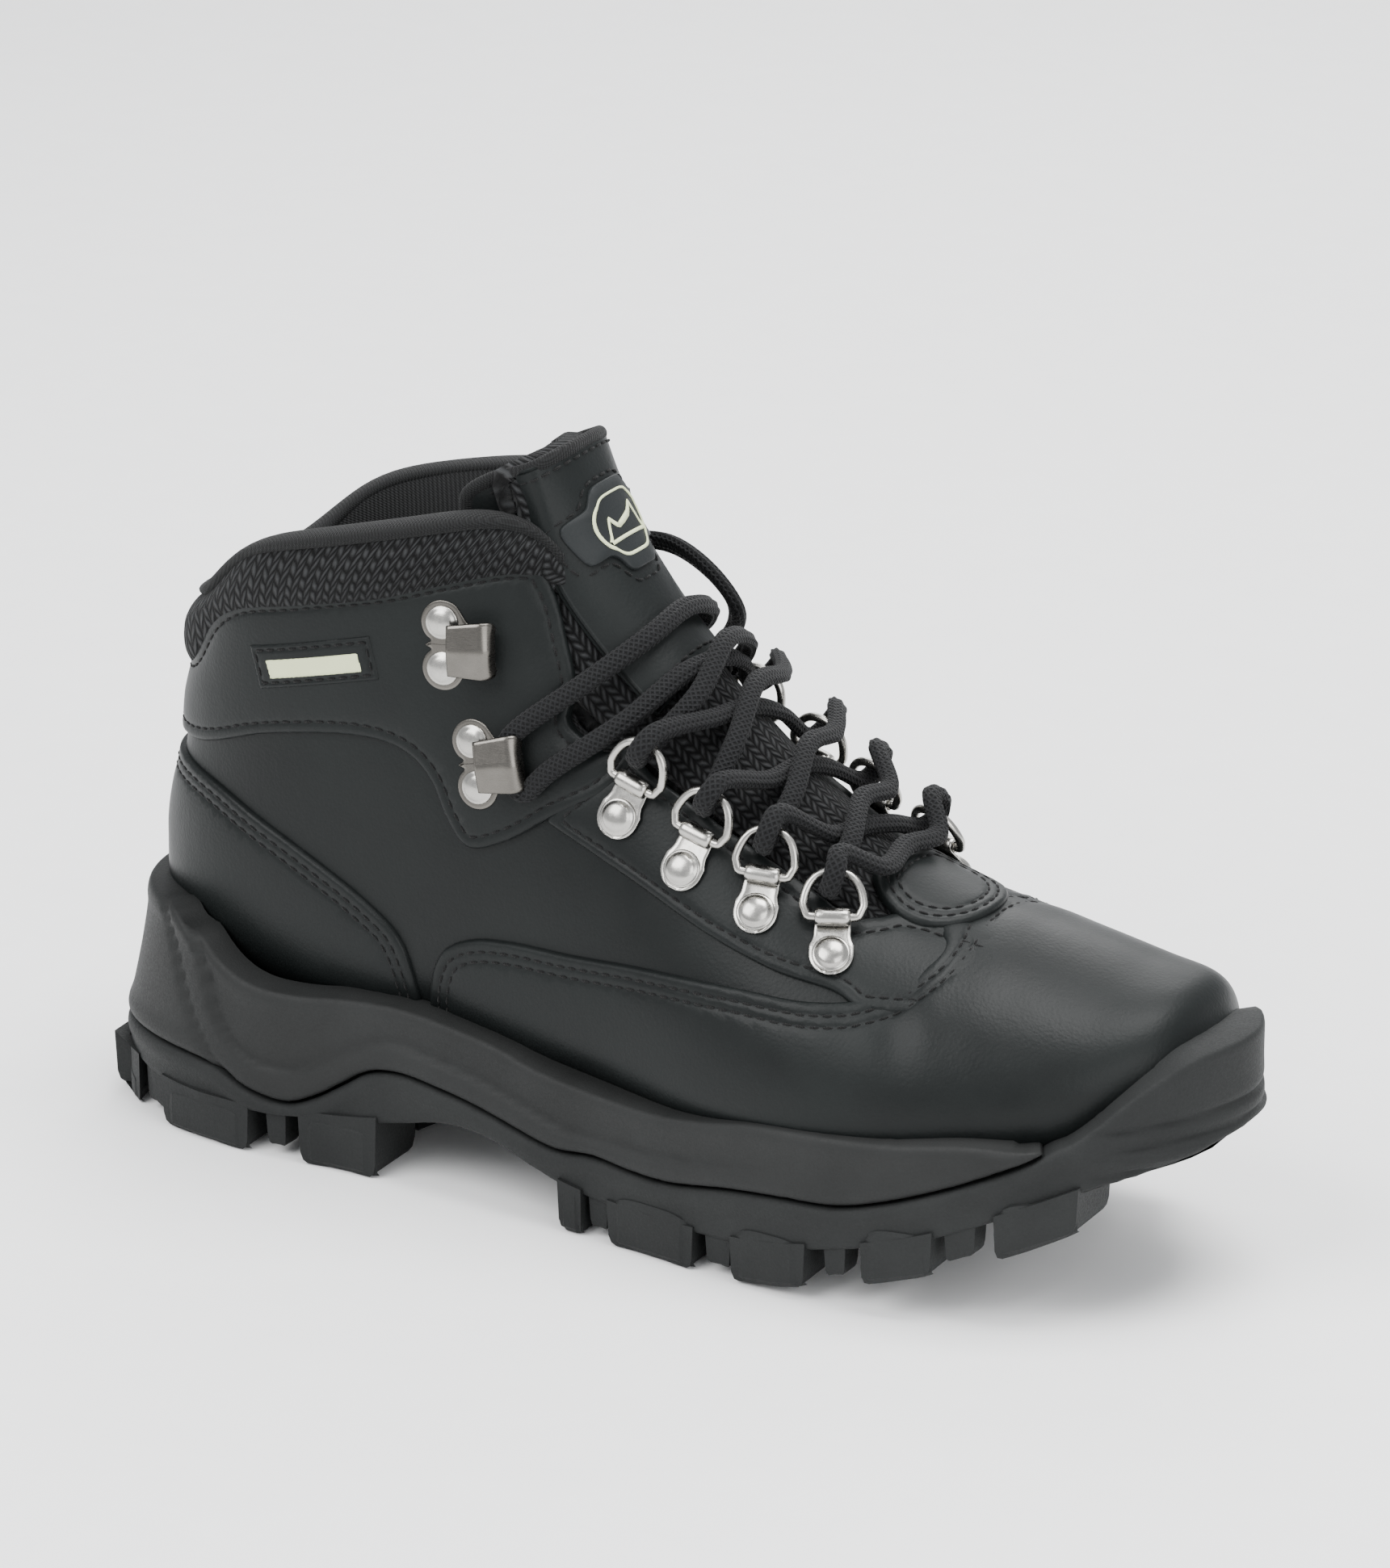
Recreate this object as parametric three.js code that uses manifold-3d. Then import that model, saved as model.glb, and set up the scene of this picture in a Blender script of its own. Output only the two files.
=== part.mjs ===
// A mid-cut leather hiking boot for the right foot, in millimetres, with +Z up.
// It is drawn with +X towards the toe, -Y on the lateral (outer) side and z = 0 at the ground,
// and the exported group is then moved so that the middle of its footprint is the origin.
import * as THREE from "three";
import { mergeVertices } from "three/addons/utils/BufferGeometryUtils.js";
import Module from "manifold-3d";

const wasm = await Module();
wasm.setup();

// ---------------------------------------------------------------- driving dimensions
const GAP = 0.3; // between touching pieces
const LEATHER = 1.8; // panel and quarter thickness
const LINING = 2.5; // padded sock lining
const SOLE_CLEARANCE = 0.4; // between the upper and the sole that holds it
const LATERAL = -1;
const MEDIAL = 1;
const FAR = 90; // beyond the boot's sides
const SKIN_RINGS = 19;
const LOWER_STEPS = 3; // points from the foot of a section to its widest place
const UPPER_STEPS = 4; // and from there to its crest

const BASE_LAYER = LEATHER + GAP; // depth of the quarters, counter and toe puff
const LINING_LAYER = BASE_LAYER + LEATHER + GAP;
const INSIDE = LINING_LAYER + LINING + GAP; // depth of the foot's space

// Cross sections of the upper, fanned from the toe tip to above the collar. Each one lies
// between a low point at its back and a high point at its front, seen from the side:
// low x, low z, high x, high z, lateral and medial half widths, middle y,
// height share of the widest place, roundness below it and above it.
const SECTIONS = [
  [294, 52, 294, 58, 1, 1, 7, 0.5, 2, 2],
  [290, 44, 291, 67, 17, 14, 7, 0.45, 2.4, 2.2],
  [282, 40, 285, 74, 29, 24, 7, 0.42, 2.6, 2.3],
  [266, 35, 269, 77.5, 41, 35.5, 5.5, 0.38, 2.6, 2],
  [241, 30, 243, 84, 49, 43, 3, 0.34, 2.8, 1.95],
  [210, 27, 215, 92, 52, 46, 1, 0.32, 3, 1.9],
  [178, 27, 190, 107, 49, 43, 0, 0.32, 3, 1.9],
  [140, 29, 167, 127, 42, 38, 0, 0.34, 3, 2],
  [95, 31, 148, 145, 37, 36, 0, 0.38, 3, 2.2],
  [46, 34, 137, 159, 35, 35, 0, 0.42, 2.9, 2.3],
  [11, 46, 131, 168, 34, 34, 0, 0.46, 2.5, 2.4],
  [4, 68, 127, 176, 33, 33, 0, 0.5, 2.2, 2.4],
  [8, 95, 124, 182, 33, 33, 0, 0.5, 2.1, 2.4],
  [13, 120, 121, 188, 34, 34, 0, 0.5, 2.1, 2.4],
  [18, 145, 118, 194, 35, 35, 0, 0.5, 2.1, 2.4],
  [23, 170, 115, 200, 36, 36, 0, 0.5, 2.1, 2.4],
];
const LAST_SECTION = SECTIONS.length - 1;
const TOE_TIP_SECTIONS = 3.5; // over which an inset also pulls the toe tip back

// Lines on the upper, seen from the side as [x, z].
const COLLAR_SEAM = [
  [-20, 117], [8, 118], [20, 122], [30, 135], [40, 142], [60, 147.5], [82, 152.5], [100, 158],
  [114, 161.5], [121, 161.5],
];
const ANKLE_FRONT = [[121, 161.5], [125, 155], [129, 145], [133, 134], [132.5, 126], [137, 122.5]];
const ANKLE_TAB = [[137, 122.5], [144, 123.5], [150.5, 122], [150, 117.5], [143, 110]];
const ANKLE_FOOT = [
  [143, 110], [131, 103], [119, 95], [108, 91.5], [102, 98], [97, 107], [90, 112.5], [79, 114.5],
  [50, 110], [22, 101], [-20, 99],
];
const THROAT = [
  [150.5, 122], [152, 118.6], [165, 111], [182, 102], [199, 93], [209, 88.3], [216.5, 88.3],
];
const EYESTAY_FOOT = [[129, 102], [150, 94], [176, 84], [196, 78], [212, 75], [218, 72]];
const VAMP_EDGE = [
  [94, 20], [94.5, 42], [97, 55], [101, 63], [108, 67], [118, 69], [138, 70], [162, 72],
  [186, 73], [207, 72.5], [218, 74], [227, 78], [231, 82.5], [226, 86], [219, 88.6],
];
const HEEL_EDGE = [
  [-20, 94.5], [8, 95], [22, 94], [35, 91], [49, 85.5], [66, 77.5], [78, 71], [87, 64],
  [90.5, 56], [92, 43], [92, 20],
];
const COUNTER_EDGE = [
  [-20, 86], [20, 85], [35, 81], [49, 75], [64, 67], [74, 59], [79, 50], [80, 20],
];
const COLLAR_TOP = [
  [128, 158], [127, 163], [122, 169.5], [113, 174], [97, 171.5], [68, 165], [44, 158], [35, 150],
  [27, 142.5], [13, 136], [-20, 134],
];
const QUARTER_FRONT_X = 231;
const TOE_PUFF_BACK_X = 237;
const VAMP_THROAT_X = 216.5;

// The sole's outline from above, [x, y], and its lines seen from the side, [x, z].
const SOLE_OUTLINE = [
  [1, 0], [6, -19], [20, -32], [40, -38], [75, -38], [110, -40], [150, -45], [190, -51],
  [215, -53], [245, -50], [270, -41], [290, -26], [300, -11], [303, 4], [297.5, 18.5], [287, 30.5],
  [270, 41], [245, 47], [215, 46], [190, 43], [150, 37], [110, 33], [75, 35], [40, 37],
  [20, 32], [6, 19],
];
const SOLE_LEVELS = [-5, 8, 22, 40, 60, 80];
const HEEL_FLARE = 7; // how far the heel runs out behind its rim
const HEEL_FLARE_LENGTH = 40;
const SIDE_FLARE = 1.5;
const FLARE_TOP = 58; // where the flare has died out
const FLARE_FOOT = 22; // where it is full
const SOLE_RIM = [
  [-20, 60], [10, 60], [20, 59], [30, 54], [39, 48], [48, 45], [60, 44.5], [75, 46], [90, 46.5],
  [105, 45], [118, 43], [130, 40], [148, 38], [167, 37.5], [180, 39], [196, 42], [212, 43],
  [231, 44], [249, 46], [272, 46.5], [278, 50], [284, 56], [291, 62], [298, 66.5], [320, 67],
];
const MIDSOLE_FOOT = [
  [-20, 22], [24, 22], [36, 20.5], [46, 16.5], [57, 15], [65, 18], [73, 23], [81, 28],
  [90, 29.5], [102, 28], [113, 26], [125, 23], [137, 20.5], [149, 21.5], [160, 20.5],
  [171, 20.5], [189, 23.5], [204, 25], [220, 26], [232, 29], [246, 34], [258, 39], [266, 43],
  [270, 46.5],
];
const TREAD_ROOT = [
  [-20, 14], [0, 12.5], [20, 11], [50, 11], [62, 12], [80, 14], [92, 16.5], [104, 19], [118, 18],
  [130, 14], [142, 11], [160, 9.5], [190, 10], [205, 12], [225, 16], [245, 22], [265, 30],
  [285, 38], [299, 42], [304, 47], [320, 56],
];
const TREAD_FOOT = [
  [-20, 1.5], [-4, 0.6], [6, 0], [190, 0], [205, 2], [225, 6.5], [245, 12.5], [265, 20],
  [285, 29], [310, 42],
];
// Lugs from heel to toe: from x, to x, slant of the sides.
const SIDE_LUGS = [
  [-12, 13, 2], [20, 47, 2], [60, 84, 2], [139, 147, 2], [153, 181, 3], [191, 213, 3],
  [226, 245, 3], [257, 276, 3],
];
const CENTRE_LUGS = [
  [9, 24, 1], [36, 48, 1], [64, 78, 1], [150, 166, 2], [176, 192, 2], [202, 217, 2],
  [229, 243, 2],
];
const SIDE_LUG_INNER_Y = { [LATERAL]: -19, [MEDIAL]: 17 };
const CENTRE_LUG_HALF_WIDTH = 10;
const LUG_EMBED = 2; // how far a lug runs up into the plate

const BOARD_OUTLINE = [
  [20, 0], [28, -16], [45, -22], [75, -22], [110, -22], [150, -27], [190, -33], [215, -35],
  [245, -31], [266, -20], [277, 6], [268, 23], [245, 28], [215, 29], [190, 26], [150, 20],
  [110, 17], [75, 20], [45, 21], [28, 16],
];
const FOOTBED_THICKNESS = 5;
const SHANK = { line: [[62, 33], [165, 27.7]], width: 14, thickness: 1.6, depth: 1 };
const CORE_WALL = 9; // the outsole's side wall round the midsole's core
const CORE_FLOOR = 4; // and its plate below it

// Where the lacing hardware is set, seen from the side: rivet [x, z] and the way it points.
const CLIPS = [
  { at: [208, 81.5], toward: [0, 1] },
  { at: [188, 89], toward: [0.1, 1] },
  { at: [168, 96.5], toward: [0.3, 1] },
  { at: [149.5, 106], toward: [0.35, 1] },
];
const HOOKS = [
  { name: "lower", at: [112, 113.4], toward: [1, 0.22] },
  { name: "upper", at: [101.5, 141.2], toward: [1, 0.08] },
];
const CLIP = { width: 8.5, sheet: 0.8, toBar: 9, tail: 3, tailRadius: 5.2, barPlay: 0.35 };
const RING = { wire: 2.2, halfWidth: 7.4, height: 11, lift: 17, sides: 6, arcSteps: 8 };
const RIVET = { head: 4.6, dome: 1.7, shank: 2, hole: 2.4, sides: 8 };
const HOOK = {
  sheet: 0.9, halfPlate: 10.4, back: 6.6, front: 9, lipHalfWidth: 4, curl: 3.3, lip: 7.6,
  rivetSpread: 5.7, rivetBack: 2, rivetHead: 4.1, rivetDome: 1.4,
};

const LABEL = [[45, 132.5], [80, 141], [83, 130], [48, 121.5]];
const LABEL_WINDOW = [[49.5, 130.3], [77.5, 137], [79, 132], [51, 125.3]];
const BADGE = [[126, 172], [131, 172], [139, 157], [139, 149], [134, 149], [124, 163]];
const COLLAR = { bulge: 1.5, depth: 8.5 };
const TONGUE = { depth: 4.5, crownDepth: 2.6, halfWidth: 28, play: 1, frontX: 224 };
const TONGUE_BACK = [[224, 72], [180, 87], [150, 101], [128, 122], [116, 145], [108, 168]];
const TONGUE_TOP = [[117, 178.5], [123.5, 188.5]];
const COVER = { foot: 133, halfWidth: 20, depth: 0.5 };
const BADGE_HALF_WIDTH = 13;
const BADGE_THICKNESS = 1;
const LABEL_THICKNESS = 0.8;
const WINDOW_THICKNESS = 0.5;

// The lace along its middle, from one aglet to the other, as [x, y, z].
const LACE_ROUTE = [
  // up the medial side to a slack loop and the upper hook
  [190, 60, 2], [168, 60, 2], [146, 57, 2], [129, 55, 8], [122, 51, 30], [121, 47.5, 64],
  [125, 45, 97], [134, 41, 120], [144, 35.5, 132], [147.5, 30, 141], [140, 30, 149],
  [126, 33, 153], [112, 31.5, 150.5], [110.5, 31.5, 146.5], [111, 32.5, 137.5], [114, 32, 135],
  // over the tongue and round the lower lateral hook
  [124.5, 30.5, 134], [137.5, 27, 135], [148.5, 15.5, 145], [149.5, 1, 149.5],
  [147.5, -15, 146], [137, -27, 136.5], [121.5, -34.5, 123.5], [119.5, -35.5, 120],
  [121.5, -36.5, 111.5], [124.5, -36.5, 109],
  // down to medial ring 4
  [131.5, -35, 115.5], [148, -26.5, 128.5], [156, -12, 137.5], [159, 3, 137.5],
  [158.5, 14, 132.5], [153, 28, 121.5], [154.5, 32.5, 122], [157.5, 34, 126], [159, 31, 129],
  // to lateral ring 3
  [167.5, 17, 130.5], [169, 0.5, 133.5], [172, -15, 124.5], [171, -29.5, 111.5],
  [172.5, -34, 113], [175, -35, 117], [176.5, -31.5, 119.5],
  // to medial ring 2
  [180.5, -14, 115], [182, 0.5, 114.5], [183.5, 12.5, 110], [186.5, 24.5, 103.5],
  [188.5, 28, 106], [190, 28, 110.5], [190.5, 23.5, 113],
  // to lateral ring 1
  [198.5, 14.5, 107], [198, 1, 108.5], [202.5, -13.5, 103], [202.5, -26, 94.5],
  [205, -29, 97], [206, -28, 102], [205, -24, 104],
  // straight across to medial ring 1
  [211.5, -13.5, 98], [210, 1.5, 98.5], [212, 14.5, 97.5], [206.5, 21.5, 104],
  [207, 26, 102.5], [206, 26.5, 97.5], [204, 23.5, 95],
  // to lateral ring 2
  [201, 11.5, 99], [198.5, 1, 101.5], [197, -13, 103.5], [190, -27, 112.5],
  [189.5, -31, 110], [188, -31.5, 105.5], [186, -28, 103.5],
  // to medial ring 3
  [187, -14.5, 112], [183.5, 0.5, 120], [183, 15, 118.5], [176.5, 28.5, 120],
  [175, 32, 117], [172.5, 31, 113], [171, 26.5, 111.5],
  // to lateral ring 4
  [169.5, 12.5, 122], [167.5, 0.5, 127], [165.5, -14.5, 128.5], [159, -32.5, 129],
  [157, -36, 126], [154.5, -34.5, 122], [153.5, -30, 121.5],
  // up and round the lower medial hook
  [161.5, -15, 134], [160.5, 1, 143], [158.5, 16.5, 137.5], [148.5, 27, 126],
  [132, 34, 115], [124.5, 36, 109], [121.5, 36.5, 111], [120, 35.5, 120], [116.5, 39, 125.5],
  // down the medial side to the ground
  [101, 46.5, 118], [96, 47, 96], [94, 48, 64], [93, 50.5, 30], [89, 54, 8], [76, 57, 2],
  [54, 58, 2], [32, 57, 2],
];
const LACE = { radius: 1.9, sides: 8 };
const AGLET = { radius: 1.65, length: 22, sides: 8 };

// The middle of the sole's footprint in this drawing, which the boot is moved back by.
const FOOTPRINT_MIDDLE = [148.45, -3];

// ---------------------------------------------------------------- solids
/** A closed geometry as a manifold solid, turned right side out if need be. */
function solid(geometry) {
  const bare = geometry.clone();
  bare.deleteAttribute("normal");
  bare.deleteAttribute("uv");
  const merged = mergeVertices(bare, 1e-4);
  const vertProperties = new Float32Array(merged.attributes.position.array);
  const triVerts = new Uint32Array(merged.index.array);
  const made = new wasm.Manifold(new wasm.Mesh({ numProp: 3, vertProperties, triVerts }));
  if (made.volume() > 0) {
    return made;
  }
  for (let i = 0; i < triVerts.length; i += 3) {
    [triVerts[i], triVerts[i + 1]] = [triVerts[i + 1], triVerts[i]];
  }
  return new wasm.Manifold(new wasm.Mesh({ numProp: 3, vertProperties, triVerts }));
}

/** A manifold solid as a flat-shaded geometry. */
function geometryOf(made) {
  const mesh = made.getMesh();
  const points = new Float32Array(mesh.numVert * 3);
  for (let i = 0; i < mesh.numVert; i += 1) {
    points.set(mesh.vertProperties.subarray(i * mesh.numProp, i * mesh.numProp + 3), i * 3);
  }
  const geometry = new THREE.BufferGeometry();
  geometry.setAttribute("position", new THREE.BufferAttribute(points, 3));
  geometry.setIndex(new THREE.BufferAttribute(new Uint32Array(mesh.triVerts), 1));
  const flat = geometry.toNonIndexed();
  flat.computeVertexNormals();
  return flat;
}

/** The largest connected piece of a solid, for cuts that leave slivers. */
function mainBody(made) {
  return made.decompose().reduce((best, body) => (body.volume() > best.volume() ? body : best));
}

function joined(solids) {
  return solids.reduce((all, next) => all.add(next));
}

/** A solid skinned over rings of points, capped at both ends unless the rings close on themselves. */
function loft(rings, closed = false) {
  const count = rings[0].length;
  const positions = rings.flat().flatMap((p) => [p.x, p.y, p.z]);
  const index = [];
  const spans = closed ? rings.length : rings.length - 1;
  for (let i = 0; i < spans; i += 1) {
    const here = i * count;
    const next = ((i + 1) % rings.length) * count;
    for (let j = 0; j < count; j += 1) {
      const k = (j + 1) % count;
      index.push(here + j, next + j, next + k, here + j, next + k, here + k);
    }
  }
  if (!closed) {
    [0, rings.length - 1].forEach((end) => {
      const centre = rings[end].reduce((sum, p) => sum.add(p), new THREE.Vector3());
      centre.divideScalar(count);
      const hub = positions.length / 3;
      positions.push(centre.x, centre.y, centre.z);
      for (let j = 0; j < count; j += 1) {
        const a = end * count + j;
        const b = end * count + ((j + 1) % count);
        index.push(...(end === 0 ? [hub, a, b] : [hub, b, a]));
      }
    });
  }
  const geometry = new THREE.BufferGeometry();
  geometry.setAttribute("position", new THREE.Float32BufferAttribute(positions, 3));
  geometry.setIndex(index);
  return geometry;
}

/** Points on a smooth curve through a few [x, y] points, with perSpan points for each span. */
function smooth(points, perSpan = 1, closed = false) {
  const curve = new THREE.CatmullRomCurve3(
    points.map(([x, y]) => new THREE.Vector3(x, y, 0)), closed, "centripetal");
  const spans = closed ? points.length : points.length - 1;
  const steps = spans * perSpan;
  const out = [];
  for (let i = 0; i < (closed ? steps : steps + 1); i += 1) {
    const p = curve.getPoint(i / steps);
    out.push([p.x, p.y]);
  }
  return out;
}

/** A closed outline moved outwards by a small distance, or inwards if it is negative. */
function grown(outline, distance) {
  const turn = Math.sign(THREE.ShapeUtils.area(outline.map(([x, y]) => new THREE.Vector2(x, y))));
  return outline.map(([x, y], i) => {
    const [px, py] = outline[(i + outline.length - 1) % outline.length];
    const [nx, ny] = outline[(i + 1) % outline.length];
    const before = new THREE.Vector2(y - py, px - x).normalize();
    const after = new THREE.Vector2(ny - y, x - nx).normalize();
    const out = before.clone().add(after).normalize();
    const reach = (turn * distance) / Math.max(out.dot(before), 0.5);
    return [x + reach * out.x, y + reach * out.y];
  });
}

function shapeOf(outline) {
  return new THREE.Shape(outline.map(([x, y]) => new THREE.Vector2(x, y)));
}

/** A prism across the boot from a side-view outline of [x, z] points. */
function sidePrism(outline, fromY = -FAR, toY = FAR) {
  const geometry = new THREE.ExtrudeGeometry(shapeOf(outline), {
    depth: toY - fromY, bevelEnabled: false,
  });
  geometry.rotateX(Math.PI / 2);
  geometry.translate(0, toY, 0);
  return solid(geometry);
}

/** An upright prism from an outline of [x, y] points. */
function planPrism(outline, fromZ, toZ) {
  const geometry = new THREE.ExtrudeGeometry(shapeOf(outline), {
    depth: toZ - fromZ, bevelEnabled: false,
  });
  geometry.translate(0, 0, fromZ);
  return solid(geometry);
}

/** A side-view line raised by a distance. */
function raised(line, distance) {
  return line.map(([x, z]) => [x, z + distance]);
}

/** Half the boot: the side away from y = 0, short of the middle seam. */
function sideHalf(side) {
  const inner = GAP / 2;
  const box = [[-60, -20], [380, -20], [380, 260], [-60, 260]];
  return side === LATERAL ? sidePrism(box, -FAR, -inner) : sidePrism(box, inner, FAR);
}

// ---------------------------------------------------------------- the upper's surface
/** The section at a place between 0, the toe tip, and LAST_SECTION. */
function sectionAt(place) {
  const t = Math.min(Math.max(place, 0), LAST_SECTION - 1e-9);
  const i = Math.floor(t);
  const f = t - i;
  const row = (k) => SECTIONS[Math.min(Math.max(k, 0), LAST_SECTION)];
  return row(i).map((p1, column) => {
    const p2 = row(i + 1)[column];
    const p0 = i > 0 ? row(i - 1)[column] : 2 * p1 - p2;
    const p3 = i + 2 <= LAST_SECTION ? row(i + 2)[column] : 2 * p2 - p1;
    return 0.5 * (2 * p1 + (p2 - p0) * f + (2 * p0 - 5 * p1 + 4 * p2 - p3) * f * f
      + (3 * p1 - p0 - 3 * p2 + p3) * f ** 3);
  });
}

/** The share of the half width at a height share of a section. */
function widthShare(height, widest, lower, upper) {
  const below = height < widest;
  const reach = below ? (widest - height) / widest : (height - widest) / (1 - widest);
  const power = below ? lower : upper;
  return Math.max(0, 1 - reach ** power) ** (1 / power);
}

/** A point of the upper's surface, inset by a depth, at a section and a height share. */
function surfacePoint(place, height, side, inset = 0) {
  const [lowX, lowZ, highX, highZ, lateral, medial, middle, widest, lower, upper] = sectionAt(place);
  const length = Math.hypot(highX - lowX, highZ - lowZ);
  const trim = Math.min(inset, 0.45 * length) / length;
  const share = trim + (1 - 2 * trim) * height;
  const pullBack = inset * Math.max(0, 1 - place / TOE_TIP_SECTIONS);
  const half = Math.max((side === LATERAL ? lateral : medial) - inset, 0.5);
  return new THREE.Vector3(
    lowX + (highX - lowX) * share - pullBack,
    middle + side * half * widthShare(height, widest, lower, upper),
    lowZ + (highZ - lowZ) * share);
}

/** Height shares round one side of a section, closer together where it turns. */
function heightSteps(place) {
  const [, , , , , , , widest, lower, upper] = sectionAt(place);
  const steps = [];
  for (let i = 0; i <= LOWER_STEPS; i += 1) {
    const angle = (Math.PI / 2) * (i / LOWER_STEPS);
    steps.push(widest * (1 - Math.cos(angle) ** (2 / lower)));
  }
  for (let i = 1; i <= UPPER_STEPS; i += 1) {
    const angle = (Math.PI / 2) * (i / UPPER_STEPS);
    steps.push(widest + (1 - widest) * Math.sin(angle) ** (2 / upper));
  }
  return steps;
}

/** The whole upper's outer shape as a solid, inset by a depth. */
function skin(inset) {
  const rings = [];
  for (let i = 0; i <= SKIN_RINGS; i += 1) {
    const place = (LAST_SECTION * i) / SKIN_RINGS;
    const steps = heightSteps(place);
    const up = steps.map((height) => surfacePoint(place, height, LATERAL, inset));
    const down = [...steps].reverse().slice(1, -1);
    rings.push([...up, ...down.map((height) => surfacePoint(place, height, MEDIAL, inset))]);
  }
  return solid(loft(rings));
}

/** The section and height share at a side-view point, found by halving. */
function locate(x, z) {
  const offLine = (place) => {
    const [lowX, lowZ, highX, highZ] = sectionAt(place);
    return (x - lowX) * (highZ - lowZ) - (z - lowZ) * (highX - lowX);
  };
  const step = 0.25;
  let place = 1;
  while (place < LAST_SECTION && offLine(place) * offLine(place + step) > 0) {
    place += step;
  }
  let from = place;
  let to = place + step;
  for (let i = 0; i < 30; i += 1) {
    const middle = (from + to) / 2;
    if (offLine(from) * offLine(middle) > 0) {
      from = middle;
    } else {
      to = middle;
    }
  }
  const [lowX, lowZ, highX, highZ] = sectionAt(from);
  const across = [highX - lowX, highZ - lowZ];
  const height = ((x - lowX) * across[0] + (z - lowZ) * across[1]) / (across[0] ** 2 + across[1] ** 2);
  return { place: from, height };
}

/** A frame set on the surface: X along the boot, Y the way it points, Z straight out. */
function surfaceFrame([x, z], [towardX, towardZ], side) {
  const { place, height } = locate(x, z);
  const step = 0.02;
  const origin = surfacePoint(place, height, side);
  const up = surfacePoint(place, height + step, side).sub(surfacePoint(place, height - step, side));
  const back = surfacePoint(place + step, height, side).sub(surfacePoint(place - step, height, side));
  const out = new THREE.Vector3().crossVectors(up, back).normalize();
  if (out.y * side < 0) {
    out.negate();
  }
  const pointing = new THREE.Vector3(towardX, 0, towardZ);
  pointing.addScaledVector(out, -pointing.dot(out)).normalize();
  const along = new THREE.Vector3().crossVectors(pointing, out);
  const matrix = new THREE.Matrix4().makeBasis(along, pointing, out);
  return matrix.setPosition(origin);
}

// ---------------------------------------------------------------- the upper's pieces
const outerLayer = skin(0).subtract(skin(LEATHER));
const baseLayer = skin(BASE_LAYER).subtract(skin(BASE_LAYER + LEATHER));

const ankleOutline = [
  ...smooth(COLLAR_SEAM), ...smooth(ANKLE_FRONT).slice(1), ...smooth(ANKLE_TAB).slice(1),
  ...smooth(ANKLE_FOOT).slice(1),
];
const vampOutline = [
  ...smooth(VAMP_EDGE), [VAMP_THROAT_X, 90], [VAMP_THROAT_X, 130], [340, 130], [340, 20],
];
const heelOutline = [...smooth(HEEL_EDGE), [-20, 20]];
const counterOutline = [...smooth(COUNTER_EDGE), [-20, 20]];
const eyestayOutline = [
  ...smooth(EYESTAY_FOOT), [245, 72], [245, 84], [219, 89], ...smooth(THROAT).reverse().slice(1),
  [140, 112],
];
const upperOutline = [
  [-20, 10], [340, 10], [340, 130], [VAMP_THROAT_X, 130], ...smooth(THROAT).reverse(),
  [144, 123.5], ...smooth(ANKLE_FRONT).reverse(), ...smooth(COLLAR_SEAM).reverse().slice(1),
];
const collarOutline = [
  ...smooth(COLLAR_SEAM.slice(0, -1)), [121.5, 161.8], ...smooth(COLLAR_TOP),
];

/** The part of a layer inside a side-view outline, clear of the outlines listed after it. */
function panel(layer, outline, ...neighbours) {
  return neighbours.reduce(
    (cut, neighbour) => cut.subtract(sidePrism(grown(neighbour, GAP))),
    layer.intersect(sidePrism(outline)));
}

/** The lasting margin's opening under the foot, where the insole board goes. */
const boardHole = planPrism(smooth(BOARD_OUTLINE, 1, true), 0, 62)
  .intersect(sidePrism([[0, 10], [330, 10], [330, 66], [285, 52], [266, 46], [241, 41], [205, 38],
    [140, 40], [60, 44], [0, 52]]));

function vamp() {
  return mainBody(panel(outerLayer, vampOutline).subtract(boardHole));
}

function heelPanel() {
  return mainBody(panel(outerLayer, heelOutline, vampOutline).subtract(boardHole));
}

function anklePanel(side) {
  return mainBody(panel(outerLayer, ankleOutline).intersect(sideHalf(side)));
}

function eyestay(side) {
  const strip = panel(outerLayer, eyestayOutline, ankleOutline, vampOutline);
  return mainBody(strip.intersect(sideHalf(side)));
}

function quarter(side) {
  const front = sidePrism([[QUARTER_FRONT_X, 0], [400, 0], [400, 200], [QUARTER_FRONT_X, 200]]);
  return mainBody(panel(baseLayer, upperOutline, counterOutline)
    .subtract(front).subtract(boardHole).intersect(sideHalf(side)));
}

function heelCounter() {
  return mainBody(panel(baseLayer, counterOutline).subtract(boardHole));
}

function toePuff() {
  const toe = sidePrism([[TOE_PUFF_BACK_X, 0], [400, 0], [400, 200], [TOE_PUFF_BACK_X, 200]]);
  return mainBody(baseLayer.intersect(toe).subtract(boardHole));
}

function lining() {
  const layer = skin(LINING_LAYER).subtract(skin(LINING_LAYER + LINING));
  return mainBody(panel(layer, grown(upperOutline, -1)));
}

/** The padded collar: it sits on the top edge of every layer and is thicker than all of them. */
function collarPad() {
  const layer = skin(-COLLAR.bulge).subtract(skin(COLLAR.depth));
  return mainBody(panel(layer, collarOutline, upperOutline));
}

/** The space that the leather, its lining and the collar take up round the throat. */
function throatWalls() {
  const outside = skin(-COLLAR.bulge - GAP);
  const leather = outside.subtract(skin(INSIDE));
  const collar = outside.subtract(skin(COLLAR.depth + GAP));
  return joined([
    leather.intersect(sidePrism(grown(upperOutline, TONGUE.play))),
    collar.intersect(sidePrism(grown(collarOutline, TONGUE.play))),
  ]);
}

/** A strip down the instep between two depths, in front of the tongue's back line. */
function instepStrip(fromDepth, toDepth, halfWidth) {
  const back = smooth(TONGUE_BACK);
  const strip = sidePrism([...back, ...TONGUE_TOP, [260, 210], [260, 72]], -halfWidth, halfWidth);
  return skin(fromDepth).subtract(skin(toDepth)).intersect(strip);
}

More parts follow.
